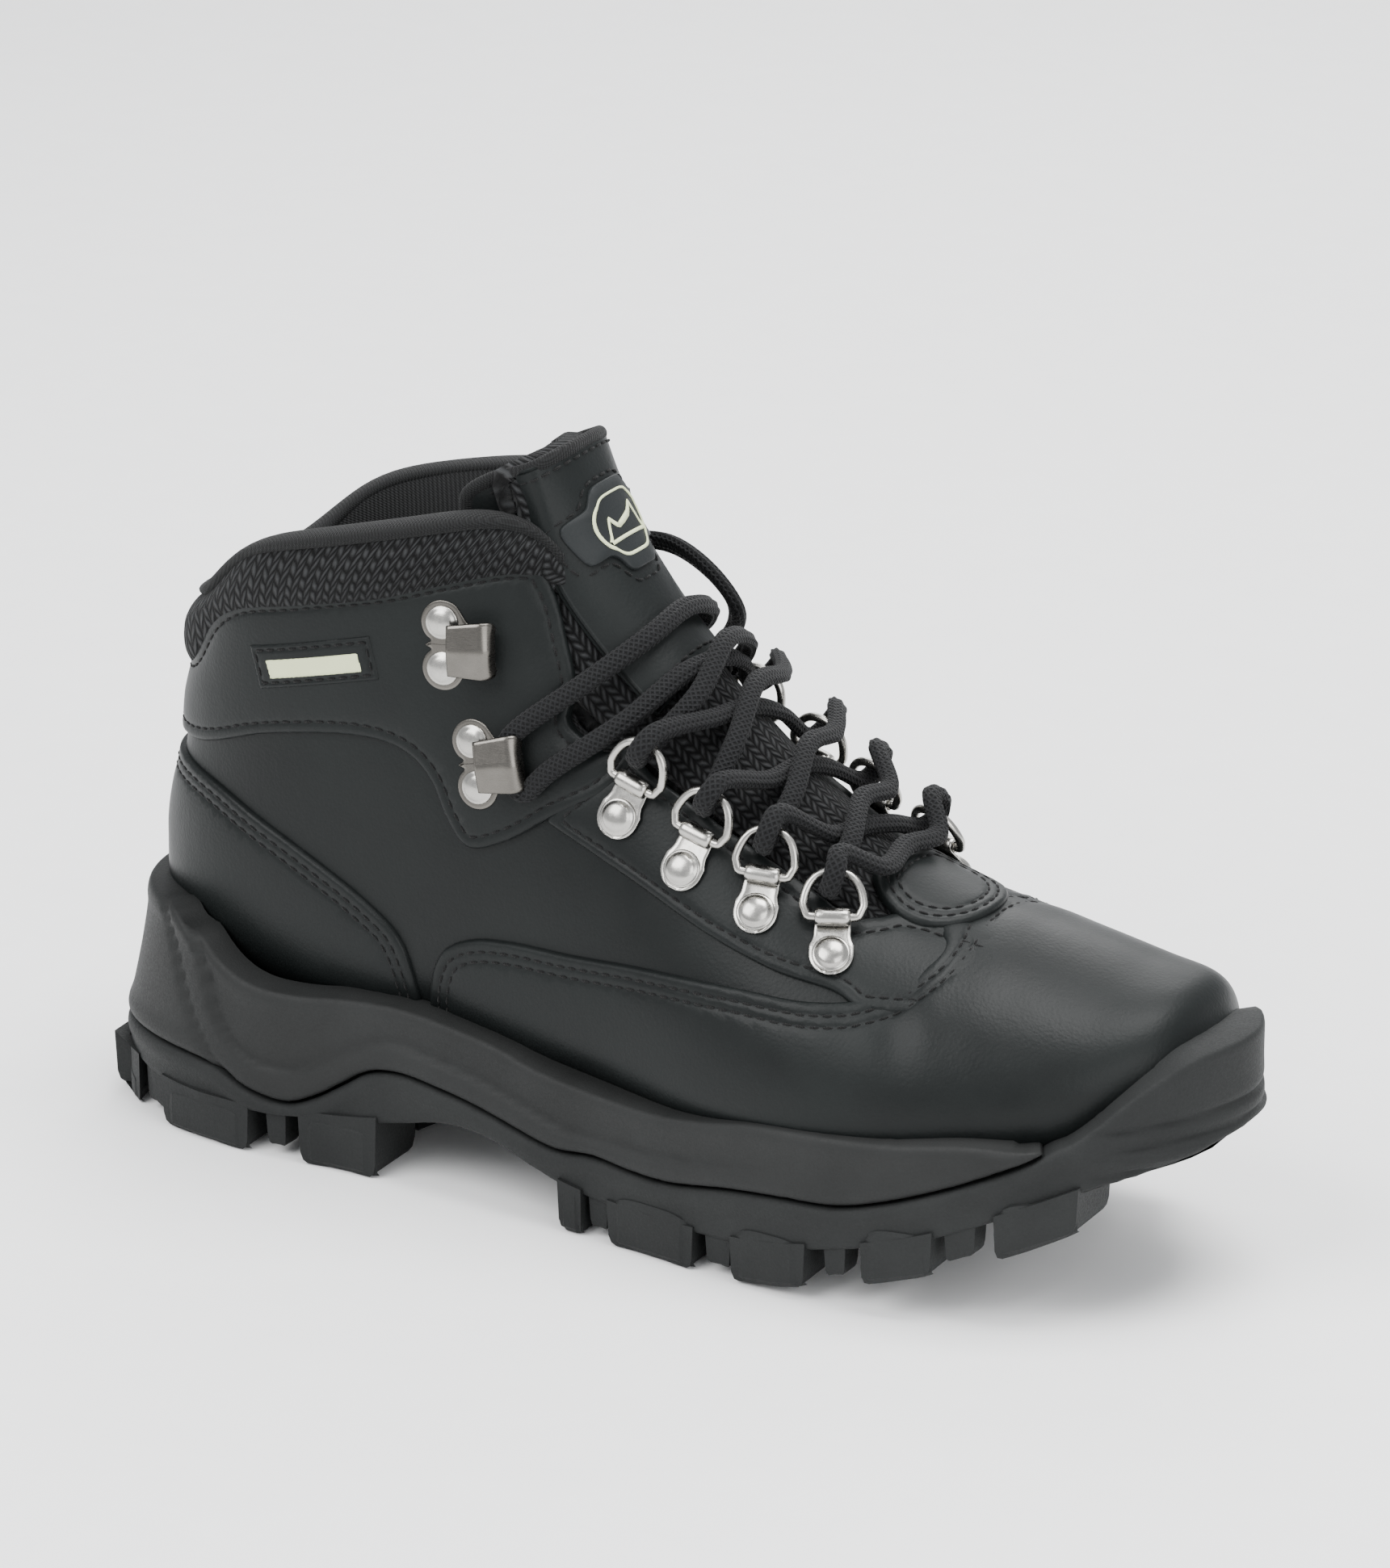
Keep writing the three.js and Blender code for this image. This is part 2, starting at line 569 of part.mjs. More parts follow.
function tongue() {
  const pad = instepStrip(TONGUE.crownDepth, INSIDE + TONGUE.depth, TONGUE.halfWidth);
  const front = sidePrism([[TONGUE.frontX, 0], [TONGUE.frontX, 200], [400, 200], [400, 0]]);
  return mainBody(pad.subtract(front).subtract(throatWalls()));
}

function tongueCover() {
  const strip = instepStrip(COVER.depth, TONGUE.crownDepth - GAP, COVER.halfWidth);
  const leather = sidePrism([
    [60, COVER.foot], [200, COVER.foot], [200, 187], [127, 187], [60, 140],
  ]);
  return mainBody(strip.intersect(leather).subtract(throatWalls()));
}

function tongueBadge() {
  const back = COVER.depth - GAP;
  const patch = instepStrip(back - BADGE_THICKNESS, back, BADGE_HALF_WIDTH);
  return mainBody(patch.intersect(sidePrism(BADGE)));
}

/** A thin patch on the outside of the lateral ankle panel. */
function ankleLabel(outline, fromHeight, toHeight) {
  const sheet = skin(-toHeight).subtract(skin(-fromHeight));
  return mainBody(sheet.intersect(sidePrism(outline, -FAR, 0)));
}

// ---------------------------------------------------------------- the sole
/** How far the sole's wall stands out at a height, from 0 at the rim to 1. */
function flareAt(z) {
  return THREE.MathUtils.clamp((FLARE_TOP - z) / (FLARE_TOP - FLARE_FOOT), 0, 1);
}

/** The sole's whole block between its side walls. */
function soleBlock() {
  const outline = smooth(SOLE_OUTLINE, 1, true);
  return solid(loft(SOLE_LEVELS.map((z) => {
    const flared = grown(outline, SIDE_FLARE * flareAt(z));
    return flared.map(([x, y]) => {
      const heel = Math.max(0, 1 - x / HEEL_FLARE_LENGTH);
      return new THREE.Vector3(x - HEEL_FLARE * flareAt(z) * heel, y, z);
    });
  })));
}

const soleBody = soleBlock();
const upperSpace = skin(-SOLE_CLEARANCE);
const MIDSOLE_TOE_X = 270;

/** The midsole's core, which fills the tray of the outsole inside its side walls. */
function midsoleCore(grow) {
  const plan = planPrism(grown(smooth(SOLE_OUTLINE, 1, true), grow - CORE_WALL), 0, 60);
  const front = MIDSOLE_TOE_X - CORE_WALL + grow;
  const floor = raised(TREAD_ROOT, CORE_FLOOR - grow).filter(([x]) => x < front);
  const end = [front, floor[floor.length - 1][1] + CORE_FLOOR];
  return plan.intersect(sidePrism([...floor, end, [front, 60], [-20, 60]]));
}

/** A straight bar under the waist of the foot, whose top is a depth below the upper. */
function shankBar(fromDepth, toDepth, grow) {
  const [[backX, backZ], [frontX, frontZ]] = SHANK.line;
  const half = SHANK.width / 2 + grow;
  return sidePrism([
    [backX - grow, backZ - toDepth], [frontX + grow, frontZ - toDepth],
    [frontX + grow, frontZ - fromDepth], [backX - grow, backZ - fromDepth],
  ], -half, half);
}

function midsole() {
  const lower = raised(smooth(MIDSOLE_FOOT, 1), GAP);
  const upper = smooth(SOLE_RIM, 1).filter(([x]) => x < MIDSOLE_TOE_X);
  const slab = sidePrism([...lower, ...[...upper].reverse()]);
  const under = sidePrism([...upper, [MIDSOLE_TOE_X, 0], [-20, 0]]);
  const pocket = shankBar(-1, SHANK.depth + SHANK.thickness + GAP, GAP);
  return mainBody(soleBody.intersect(slab.add(midsoleCore(0).intersect(under)))
    .subtract(upperSpace).subtract(pocket));
}

function shank() {
  return shankBar(SHANK.depth, SHANK.depth + SHANK.thickness, 0);
}

/** One lug, seen from the side, from the ground line up into the plate. */
function lug([fromX, toX, slant], fromY, toY) {
  const footAt = (x) => heightOn(TREAD_FOOT, x);
  const rootAt = (x) => heightOn(TREAD_ROOT, x) + LUG_EMBED;
  return sidePrism([
    [fromX + slant, footAt(fromX + slant)], [toX - slant, footAt(toX - slant)],
    [toX, rootAt(toX)], [fromX, rootAt(fromX)],
  ], fromY, toY);
}

/** The height of a side-view line at a distance along the boot. */
function heightOn(line, x) {
  const i = Math.max(line.findIndex(([px]) => px > x), 1);
  const [x0, z0] = line[i - 1];
  const [x1, z1] = line[i];
  return z0 + ((z1 - z0) * (x - x0)) / (x1 - x0);
}

function outsole() {
  const foot = raised(smooth(MIDSOLE_FOOT, 1), -GAP);
  const bumper = smooth(SOLE_RIM, 1).filter(([x]) => x > MIDSOLE_TOE_X + GAP);
  const plate = sidePrism([...smooth(TREAD_ROOT, 1), ...[...foot, ...bumper].reverse()]);
  const lugs = SIDE_LUGS.flatMap((span) => [
    lug(span, -FAR, SIDE_LUG_INNER_Y[LATERAL]), lug(span, SIDE_LUG_INNER_Y[MEDIAL], FAR),
  ]);
  CENTRE_LUGS.forEach((span) => lugs.push(lug(span, -CENTRE_LUG_HALF_WIDTH, CENTRE_LUG_HALF_WIDTH)));
  return mainBody(soleBody.intersect(joined([plate, ...lugs]))
    .subtract(midsoleCore(GAP)).subtract(upperSpace));
}

/** The stiff board that closes the upper under the foot. */
function insoleBoard() {
  const plan = planPrism(grown(smooth(BOARD_OUTLINE, 1, true), -GAP - 0.1), 0, 62);
  return mainBody(skin(0.4).subtract(skin(LINING_LAYER - GAP)).intersect(boardHole).intersect(plan));
}

function footbed() {
  const lowLine = SECTIONS.slice(1, -5).map(([x, z]) => [x, z]).reverse();
  const top = raised(lowLine, INSIDE + FOOTBED_THICKNESS);
  const bottom = raised(lowLine, -20);
  return mainBody(skin(INSIDE).intersect(sidePrism([...bottom, ...top.reverse()])));
}

// ---------------------------------------------------------------- lacing hardware
const LEATHER_STACK = BASE_LAYER + LEATHER;
const SHANK_REACH = LEATHER_STACK - 0.8; // a rivet's shank stops inside the quarter

/** Turns a shape drawn in Y and Z, extruded along X about the middle. */
function acrossFrame(shape, width) {
  const geometry = new THREE.ExtrudeGeometry(shape, {
    depth: width, bevelEnabled: false, curveSegments: 4,
  });
  geometry.translate(0, 0, -width / 2);
  geometry.applyMatrix4(new THREE.Matrix4().makeBasis(
    new THREE.Vector3(0, 1, 0), new THREE.Vector3(0, 0, 1), new THREE.Vector3(1, 0, 0)));
  return geometry;
}

/** An upright cylinder about Z. */
function disc(radius, fromZ, toZ, x = 0, y = 0) {
  const geometry = new THREE.CylinderGeometry(radius, radius, toZ - fromZ, RIVET.sides);
  geometry.rotateX(Math.PI / 2);
  geometry.translate(x, y, (fromZ + toZ) / 2);
  return solid(geometry);
}

/** A low dome with a shank below it, about Z. */
function domedRivet(head, dome, baseZ, shankDepth, x = 0, y = 0) {
  const profile = [
    [0, -shankDepth], [RIVET.shank, -shankDepth], [RIVET.shank, baseZ], [head, baseZ],
    [head, baseZ + 0.35 * dome], [0.72 * head, baseZ + 0.85 * dome], [0, baseZ + dome],
  ];
  const geometry = new THREE.LatheGeometry(
    profile.map(([radius, height]) => new THREE.Vector2(radius, height)), RIVET.sides);
  geometry.rotateX(Math.PI / 2);
  geometry.translate(x, y, 0);
  return solid(geometry);
}

const CLIP_LOOP_INNER = RING.wire / 2 + CLIP.barPlay;
const CLIP_LOOP_OUTER = CLIP_LOOP_INNER + CLIP.sheet;
const BAR_HEIGHT = GAP + CLIP_LOOP_OUTER;

/** A folded clip: a flat tongue under the rivet, rolled over the ring's bar. */
function ringClip() {
  const profile = new THREE.Shape();
  const wrap = THREE.MathUtils.degToRad(205);
  profile.moveTo(-CLIP.tail, GAP);
  profile.lineTo(CLIP.toBar, GAP);
  profile.absarc(CLIP.toBar, BAR_HEIGHT, CLIP_LOOP_OUTER, -Math.PI / 2, wrap, false);
  profile.absarc(CLIP.toBar, BAR_HEIGHT, CLIP_LOOP_INNER, wrap, -Math.PI / 2, true);
  profile.lineTo(-CLIP.tail, GAP + CLIP.sheet);
  const strip = solid(acrossFrame(profile, CLIP.width));
  const tail = disc(CLIP.tailRadius, GAP, GAP + CLIP.sheet);
  return strip.add(tail).subtract(disc(RIVET.hole, -1, GAP + CLIP.sheet + 1));
}

/** The D-shaped ring about its bar, lifted off the leather by its rest angle. */
function dRing() {
  const path = [[-4.5, 0], [4.5, 0], [RING.halfWidth - 1.2, 0.2]];
  const flat = 2 / 2.5; // the power that squares the arc's shoulders a little
  for (let i = 0; i <= RING.arcSteps; i += 1) {
    const angle = Math.PI * (0.08 + (0.84 * i) / RING.arcSteps);
    const x = Math.sign(Math.cos(angle)) * Math.abs(Math.cos(angle)) ** flat;
    path.push([RING.halfWidth * x, RING.height * Math.sin(angle) ** flat]);
  }
  path.push([1.2 - RING.halfWidth, 0.2]);
  const rings = path.map(([x, y], i) => {
    const [px, py] = path[(i + path.length - 1) % path.length];
    const [nx, ny] = path[(i + 1) % path.length];
    const outward = new THREE.Vector3(ny - py, px - nx, 0).normalize();
    return Array.from({ length: RING.sides }, (_, k) => {
      const angle = (2 * Math.PI * (k + 0.5)) / RING.sides;
      const p = outward.clone().multiplyScalar(Math.cos(angle) * RING.wire / 2);
      return p.add(new THREE.Vector3(x, y, Math.sin(angle) * RING.wire / 2));
    });
  });
  const geometry = loft(rings, true);
  geometry.rotateX(THREE.MathUtils.degToRad(RING.lift));
  geometry.translate(0, CLIP.toBar, BAR_HEIGHT);
  return solid(geometry);
}

/** A speed hook: a plate on two set rivets, curled over towards the heel. */
function speedHook() {
  const top = GAP + HOOK.sheet;
  const curlHeight = GAP + HOOK.curl;
  const inner = HOOK.curl - HOOK.sheet;
  const profile = new THREE.Shape();
  profile.moveTo(0, GAP);
  profile.lineTo(HOOK.front, GAP);
  profile.absarc(HOOK.front, curlHeight, HOOK.curl, -Math.PI / 2, Math.PI / 2, false);
  profile.lineTo(HOOK.front - HOOK.lip, curlHeight + HOOK.curl + 0.8);
  profile.lineTo(HOOK.front - HOOK.lip, curlHeight + inner + 0.8);
  profile.lineTo(HOOK.front, curlHeight + inner);
  profile.absarc(HOOK.front, curlHeight, inner, Math.PI / 2, -Math.PI / 2, true);
  profile.lineTo(0, top);
  const curl = solid(acrossFrame(profile, 2 * HOOK.lipHalfWidth));
  const plate = planPrism([
    [-HOOK.halfPlate, -HOOK.back + 1], [-4, -HOOK.back - 0.5], [4, -HOOK.back - 0.5],
    [HOOK.halfPlate, -HOOK.back + 1], [HOOK.halfPlate, 1], [HOOK.lipHalfWidth, HOOK.front - 1],
    [-HOOK.lipHalfWidth, HOOK.front - 1], [-HOOK.halfPlate, 1],
  ], GAP, top);
  const rivets = [-HOOK.rivetSpread, HOOK.rivetSpread].map(
    (x) => domedRivet(HOOK.rivetHead, HOOK.rivetDome, top - 0.05, SHANK_REACH, x, -HOOK.rivetBack));
  return joined([plate, curl, ...rivets]);
}

function rivetHoles() {
  const depth = LEATHER_STACK + 1;
  return joined([-HOOK.rivetSpread, HOOK.rivetSpread].map(
    (x) => disc(RIVET.hole, -depth, 2, x, -HOOK.rivetBack)));
}

// ---------------------------------------------------------------- the lace
/** A tube of even thickness along a path of points, closed at both ends. */
function cordTube(path, radius, sides) {
  let normal = new THREE.Vector3(0, 0, 1);
  const rings = path.map((point, i) => {
    const ahead = path[Math.min(i + 1, path.length - 1)];
    const direction = ahead.clone().sub(path[Math.max(i - 1, 0)]).normalize();
    normal = normal.clone().addScaledVector(direction, -normal.dot(direction)).normalize();
    const across = new THREE.Vector3().crossVectors(direction, normal);
    return Array.from({ length: sides }, (_, k) => {
      const angle = (2 * Math.PI * k) / sides;
      return point.clone().addScaledVector(normal, radius * Math.cos(angle))
        .addScaledVector(across, radius * Math.sin(angle));
    });
  });
  return loft(rings, false);
}

const lacePath = LACE_ROUTE.map(([x, y, z]) => new THREE.Vector3(x, y, z));

/** The stiff tip on one end of the lace, in line with its last stretch. */
function aglet(end, before) {
  const direction = end.clone().sub(before).normalize();
  const start = end.clone().addScaledVector(direction, GAP);
  const tip = start.clone().addScaledVector(direction, AGLET.length);
  return cordTube([start, tip], AGLET.radius, AGLET.sides);
}

// ---------------------------------------------------------------- materials
function material(color, roughness, metalness = 0) {
  return new THREE.MeshStandardMaterial({ color, roughness, metalness, flatShading: true });
}

const MATERIALS = {
  leather: () => material(0x24262a, 0.5),
  quarterLeather: () => material(0x1f2124, 0.5),
  board: () => material(0x8a7a62, 0.9),
  stiffener: () => material(0x6c6a60, 0.8),
  lining: () => material(0x2b2c2e, 0.95),
  mesh: () => material(0x222325, 0.95),
  midsole: () => material(0x1b1c1e, 0.8),
  rubber: () => material(0x141516, 0.85),
  steel: () => material(0x9a9da0, 0.35, 1),
  nickel: () => material(0xc9cbcd, 0.22, 1),
  gunmetal: () => material(0x8a8d90, 0.3, 1),
  label: () => material(0xb9c29a, 0.7),
  badge: () => material(0x3a3d40, 0.6),
  lace: () => material(0x18191b, 0.9),
  plastic: () => material(0x101112, 0.3),
};

// ---------------------------------------------------------------- assembly
const boot = new THREE.Group();
const drawing = new THREE.Group();
drawing.position.set(-FOOTPRINT_MIDDLE[0], -FOOTPRINT_MIDDLE[1], 0);
boot.add(drawing);

function addMesh(name, geometry, finish, parent = drawing) {
  const mesh = new THREE.Mesh(geometry, finish);
  mesh.name = name;
  parent.add(mesh);
  return mesh;
}

function addSolid(name, made, finish) {
  return addMesh(name, geometryOf(made), finish);
}

function sideName(side) {
  return side === LATERAL ? "lateral" : "medial";
}

/** A group standing on the surface in a frame, for pieces drawn about its origin. */
function frameGroup(frame) {
  const group = new THREE.Group();
  frame.decompose(group.position, group.quaternion, group.scale);
  drawing.add(group);
  return group;
}

function throughLeather(frame, hole) {
  return solid(geometryOf(hole).applyMatrix4(frame));
}

function addSoleUnit() {
  addSolid("outsole", outsole(), MATERIALS.rubber());
  addSolid("midsole", midsole(), MATERIALS.midsole());
  addSolid("shank", shank(), MATERIALS.steel());
  addSolid("insole_board", insoleBoard(), MATERIALS.board());
  addSolid("footbed", footbed(), MATERIALS.lining());
}

function addUpper() {
  addSolid("vamp", vamp(), MATERIALS.leather());
  addSolid("heel_panel", heelPanel(), MATERIALS.leather());
  addSolid("toe_puff", toePuff(), MATERIALS.stiffener());
  addSolid("heel_counter", heelCounter(), MATERIALS.stiffener());
  addSolid("lining", lining(), MATERIALS.lining());
  addSolid("collar_pad", collarPad(), MATERIALS.mesh());
  addSolid("tongue", tongue(), MATERIALS.mesh());
  addSolid("tongue_cover", tongueCover(), MATERIALS.leather());
  addSolid("tongue_badge", tongueBadge(), MATERIALS.badge());
  const labelTop = GAP + LABEL_THICKNESS;
  const windowTop = labelTop + GAP + WINDOW_THICKNESS;
  addSolid("label_patch", ankleLabel(LABEL, GAP, labelTop), MATERIALS.leather());
  addSolid("label_window", ankleLabel(LABEL_WINDOW, labelTop + GAP, windowTop), MATERIALS.label());
}

/** One side's quarter, panels and lacing hardware, with the leather punched for its rivets. */
function addSide(side) {
  const name = sideName(side);
  let quarterPiece = quarter(side);
  let eyestayPiece = eyestay(side);
  let anklePiece = anklePanel(side);
  CLIPS.forEach(({ at, toward }, i) => {
    const frame = surfaceFrame(at, toward, side);
    const hole = throughLeather(frame, disc(RIVET.hole, -LEATHER_STACK - 1, 2));
    quarterPiece = quarterPiece.subtract(hole);
    eyestayPiece = eyestayPiece.subtract(hole);
    const group = frameGroup(frame);
    const number = i + 1;
    addMesh(`clip_${name}_${number}`, geometryOf(ringClip()), MATERIALS.nickel(), group);
    addMesh(`ring_${name}_${number}`, geometryOf(dRing()), MATERIALS.nickel(), group);
    const rivet = domedRivet(RIVET.head, RIVET.dome, GAP + CLIP.sheet + GAP, SHANK_REACH);
    addMesh(`rivet_${name}_${number}`, geometryOf(rivet), MATERIALS.nickel(), group);
  });
  HOOKS.forEach(({ name: place, at, toward }) => {
    const frame = surfaceFrame(at, toward, side);
    const holes = throughLeather(frame, rivetHoles());
    quarterPiece = quarterPiece.subtract(holes);
    anklePiece = anklePiece.subtract(holes);
    const group = frameGroup(frame);
    addMesh(`hook_${name}_${place}`, geometryOf(speedHook()), MATERIALS.gunmetal(), group);
  });
  addSolid(`quarter_${name}`, quarterPiece, MATERIALS.quarterLeather());
  addSolid(`eyestay_${name}`, eyestayPiece, MATERIALS.leather());
  addSolid(`ankle_panel_${name}`, anklePiece, MATERIALS.leather());
}

function addLace() {
  const [first, second] = lacePath;
  const [lastButOne, last] = lacePath.slice(-2);
  const tube = cordTube(lacePath, LACE.radius, LACE.sides);
  addSolid("lace", solid(tube), MATERIALS.lace());
  addSolid("aglet_front", solid(aglet(first, second)), MATERIALS.plastic());
  addSolid("aglet_back", solid(aglet(last, lastButOne)), MATERIALS.plastic());
}

addSoleUnit();
addUpper();
addSide(LATERAL);
addSide(MEDIAL);
addLace();

export default boot;
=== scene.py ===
"""How the hiking boot looks: leather, knit, rubber, hardware and lace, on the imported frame.

Shapes are drawn in millimetres in the boot's drawing frame, +X towards the toe and -Y on the
lateral side, and are moved into the row frame, in metres, when a mesh is made.
"""
import math

import bpy
import numpy as np
from mathutils import Matrix, Vector
from mathutils.kdtree import KDTree


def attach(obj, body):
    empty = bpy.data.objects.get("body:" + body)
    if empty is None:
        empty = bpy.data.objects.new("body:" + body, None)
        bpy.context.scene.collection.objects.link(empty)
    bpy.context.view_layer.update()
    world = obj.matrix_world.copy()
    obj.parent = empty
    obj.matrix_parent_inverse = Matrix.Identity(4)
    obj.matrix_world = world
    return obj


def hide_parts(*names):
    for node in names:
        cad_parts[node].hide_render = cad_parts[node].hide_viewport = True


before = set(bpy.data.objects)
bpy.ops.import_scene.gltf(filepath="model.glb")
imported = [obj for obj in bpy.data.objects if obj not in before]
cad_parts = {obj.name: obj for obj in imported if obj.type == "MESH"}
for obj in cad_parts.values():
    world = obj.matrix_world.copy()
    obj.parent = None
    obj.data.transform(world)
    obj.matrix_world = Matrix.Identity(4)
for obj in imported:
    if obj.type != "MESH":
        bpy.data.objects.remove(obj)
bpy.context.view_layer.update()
SHIFT = np.array([148.45, -3.0, 0.0])
MM = 0.001
BOOT = "boot"
LATERAL, MEDIAL = -1, 1


def metres(points):
    return (np.asarray(points, float) - SHIFT) * MM


# ------------------------------------------------------------------ camera
AZIMUTH, ELEVATION = math.radians(28.5), math.radians(20.3)
DISTANCE = 1.8
SHIFT_RIGHT, SHIFT_UP = 0.0021, 0.0271
LENS, SENSOR = 167.5, 36
camera_right = Vector((math.cos(AZIMUTH), math.sin(AZIMUTH), 0))
camera_back = Vector((
    math.sin(AZIMUTH) * math.cos(ELEVATION), -math.cos(AZIMUTH) * math.cos(ELEVATION),
    math.sin(ELEVATION)))
camera_up = camera_back.cross(camera_right)
target = Vector(metres([150, 0, 75])) + camera_right * SHIFT_RIGHT + camera_up * SHIFT_UP
camera = bpy.data.objects.new("camera", bpy.data.cameras.new("camera"))
camera.data.lens = LENS
camera.data.sensor_width = SENSOR
camera.data.clip_end = 20
camera.matrix_world = Matrix.Translation(target + camera_back * DISTANCE) @ Matrix(
    (camera_right, camera_up, camera_back)).transposed().to_4x4()
bpy.context.scene.collection.objects.link(camera)
bpy.context.scene.camera = camera


# ------------------------------------------------------------------ materials
class Shader:
    """A material and short ways to add nodes to it."""

    def __init__(self, name, roughness=0.5, **settings):
        self.material = bpy.data.materials.new(name)
        self.material.use_nodes = True
        self.tree = self.material.node_tree
        self.bsdf = self.tree.nodes["Principled BSDF"]
        self.bsdf.inputs["Roughness"].default_value = roughness
        for key, value in settings.items():
            self.bsdf.inputs[key.replace("_", " ")].default_value = value

    def node(self, kind, inputs=None, **settings):
        made = self.tree.nodes.new("ShaderNode" + kind)
        for key, value in settings.items():
            setattr(made, key, value)
        for key, value in (inputs or {}).items():
            if isinstance(value, bpy.types.NodeSocket):
                self.tree.links.new(value, made.inputs[key])
            else:
                made.inputs[key].default_value = value
        return made

    def place(self, stretch=(1, 1, 1), attribute=None):
        """Where on the object a texture is read: the row frame, or a stored attribute in mm."""
        if attribute:
            source = self.node("Attribute", attribute_name=attribute).outputs["Vector"]
        else:
            source = self.node("TexCoord").outputs["Object"]
        return self.node("Mapping", {"Vector": source, "Scale": stretch}).outputs[0]

    def noise(self, where, scale, detail=3, roughness=0.55):
        return self.node("TexNoise", {
            "Vector": where, "Scale": scale, "Detail": detail, "Roughness": roughness,
        }).outputs["Fac"]

    def math(self, operation, a, b=0.0, c=0.0):
        return self.node("Math", {0: a, 1: b, 2: c}, operation=operation).outputs[0]

    def spread(self, value, low, high, to_low, to_high):
        return self.node("MapRange", {
            "Value": value, "From Min": low, "From Max": high, "To Min": to_low, "To Max": to_high,
        }).outputs[0]

    def mix(self, factor, first, second):
        made = self.node("Mix", {0: factor}, data_type="RGBA")
        made.inputs[6].default_value = (*first, 1)
        made.inputs[7].default_value = (*second, 1)
        return made.outputs[2]

    def bump(self, height, strength, distance, normal=None):
        inputs = {"Height": height, "Strength": strength, "Distance": distance * MM}
        if normal is not None:
            inputs["Normal"] = normal
        return self.node("Bump", inputs).outputs[0]

    def wire(self, socket, output):
        self.tree.links.new(output, self.bsdf.inputs[socket])


def leather(name, dark, light, grain=0.16, shine=0.42):
    """Smooth full-grain leather: fine pebbles, faint creases and patchy polish."""
    s = Shader(name, shine)
    s.bsdf.inputs["Specular IOR Level"].default_value = 0.14
    where = s.place()
    cells = s.node("TexVoronoi", {"Vector": where, "Scale": 1250.0}, feature="SMOOTH_F1")
    fine = s.noise(where, 3200, 2)
    broad = s.noise(where, 26, 4)
    pores = s.math("MULTIPLY_ADD", cells.outputs["Distance"], 0.8, s.math("MULTIPLY", fine, 0.35))
    creases = s.noise(s.place((1, 1, 0.45)), 190, 5, 0.62)
    first = s.bump(creases, 0.1, 0.8)
    s.wire("Normal", s.bump(pores, grain, 0.35, first))
    tint = s.math("ADD", s.math("MULTIPLY", broad, 0.7), s.math("MULTIPLY", fine, 0.3))
    s.wire("Base Color", s.mix(s.spread(tint, 0.35, 0.65, 0, 1), dark, light))
    s.wire("Roughness", s.spread(broad, 0.3, 0.7, shine - 0.05, shine + 0.07))
    return s.material


def rubber(name, dark, light, roughness=0.62, grain=0.3):
    """Moulded rubber or polyurethane with a fine spark-eroded texture."""
    s = Shader(name, roughness)
    s.bsdf.inputs["Specular IOR Level"].default_value = 0.16
    where = s.place()
    fine = s.noise(where, 1500, 4, 0.7)
    broad = s.noise(where, 30, 3)
    s.wire("Normal", s.bump(fine, grain, 0.3))
    s.wire("Base Color", s.mix(s.spread(broad, 0.3, 0.7, 0, 1), dark, light))
    s.wire("Roughness", s.spread(fine, 0.3, 0.7, roughness - 0.07, roughness + 0.1))
    return s.material


def metal(name, colour, roughness, brushed):
    """Plated metal with handling marks, brushed along one way when asked."""
    s = Shader(name, roughness, Metallic=1.0)
    where = s.place((1, 1, 12 if brushed else 1))
    lines = s.noise(where, 700, 4, 0.6)
    broad = s.noise(s.place(), 160, 2)
    s.wire("Normal", s.bump(lines, 0.05 if brushed else 0.02, 0.1))
    dim = tuple(0.82 * c for c in colour)
    s.wire("Base Color", s.mix(s.spread(broad, 0.3, 0.7, 0, 1), dim, colour))
    s.wire("Roughness", s.spread(lines, 0.3, 0.7, roughness - 0.05, roughness + 0.08))
    return s.material


def knit(name, dark, light, pitch=2.6, depth=1.0, attribute="weave"):
    """A coarse diagonal knit: ribs of short slanted yarn loops, from a stored attribute in mm, with painted
    shade between the loops.
    """
    s = Shader(name, 0.85, Sheen_Weight=0.03, Specular_IOR_Level=0.14)
    where = s.place((1, 1, 1), attribute)
    wobble = s.noise(where, 0.5, 2)
    axes = s.node("SeparateXYZ", {0: where})
    along = s.math("ADD", axes.outputs[0], s.math("MULTIPLY", wobble, 0.5 * pitch))
    across = axes.outputs[1]
    turn = 2 * math.pi / pitch
    rib = s.math("SINE", s.math("MULTIPLY", across, turn * 0.5))
    slant = s.math("MULTIPLY", s.math("SIGN", rib), 0.9)
    loop = s.math("SINE", s.math("MULTIPLY", s.math(
        "MULTIPLY_ADD", across, slant, along), turn))
    height = s.math("MULTIPLY", s.math("ABSOLUTE", rib), s.math("MULTIPLY_ADD", loop, 0.5, 0.5))
    yarn = s.noise(where, 4.0, 3, 0.7)
    level = s.math("MULTIPLY_ADD", yarn, 0.25, height)
    s.wire("Normal", s.bump(level, 0.9, depth))
    # Colour follows the loops' height: painted shade, darker down between the loops, plus a little random
    # yarn tone.
    s.wire("Base Color", s.mix(s.spread(level, 0.15, 1.0, 0, 1), dark, light))
    return s.material


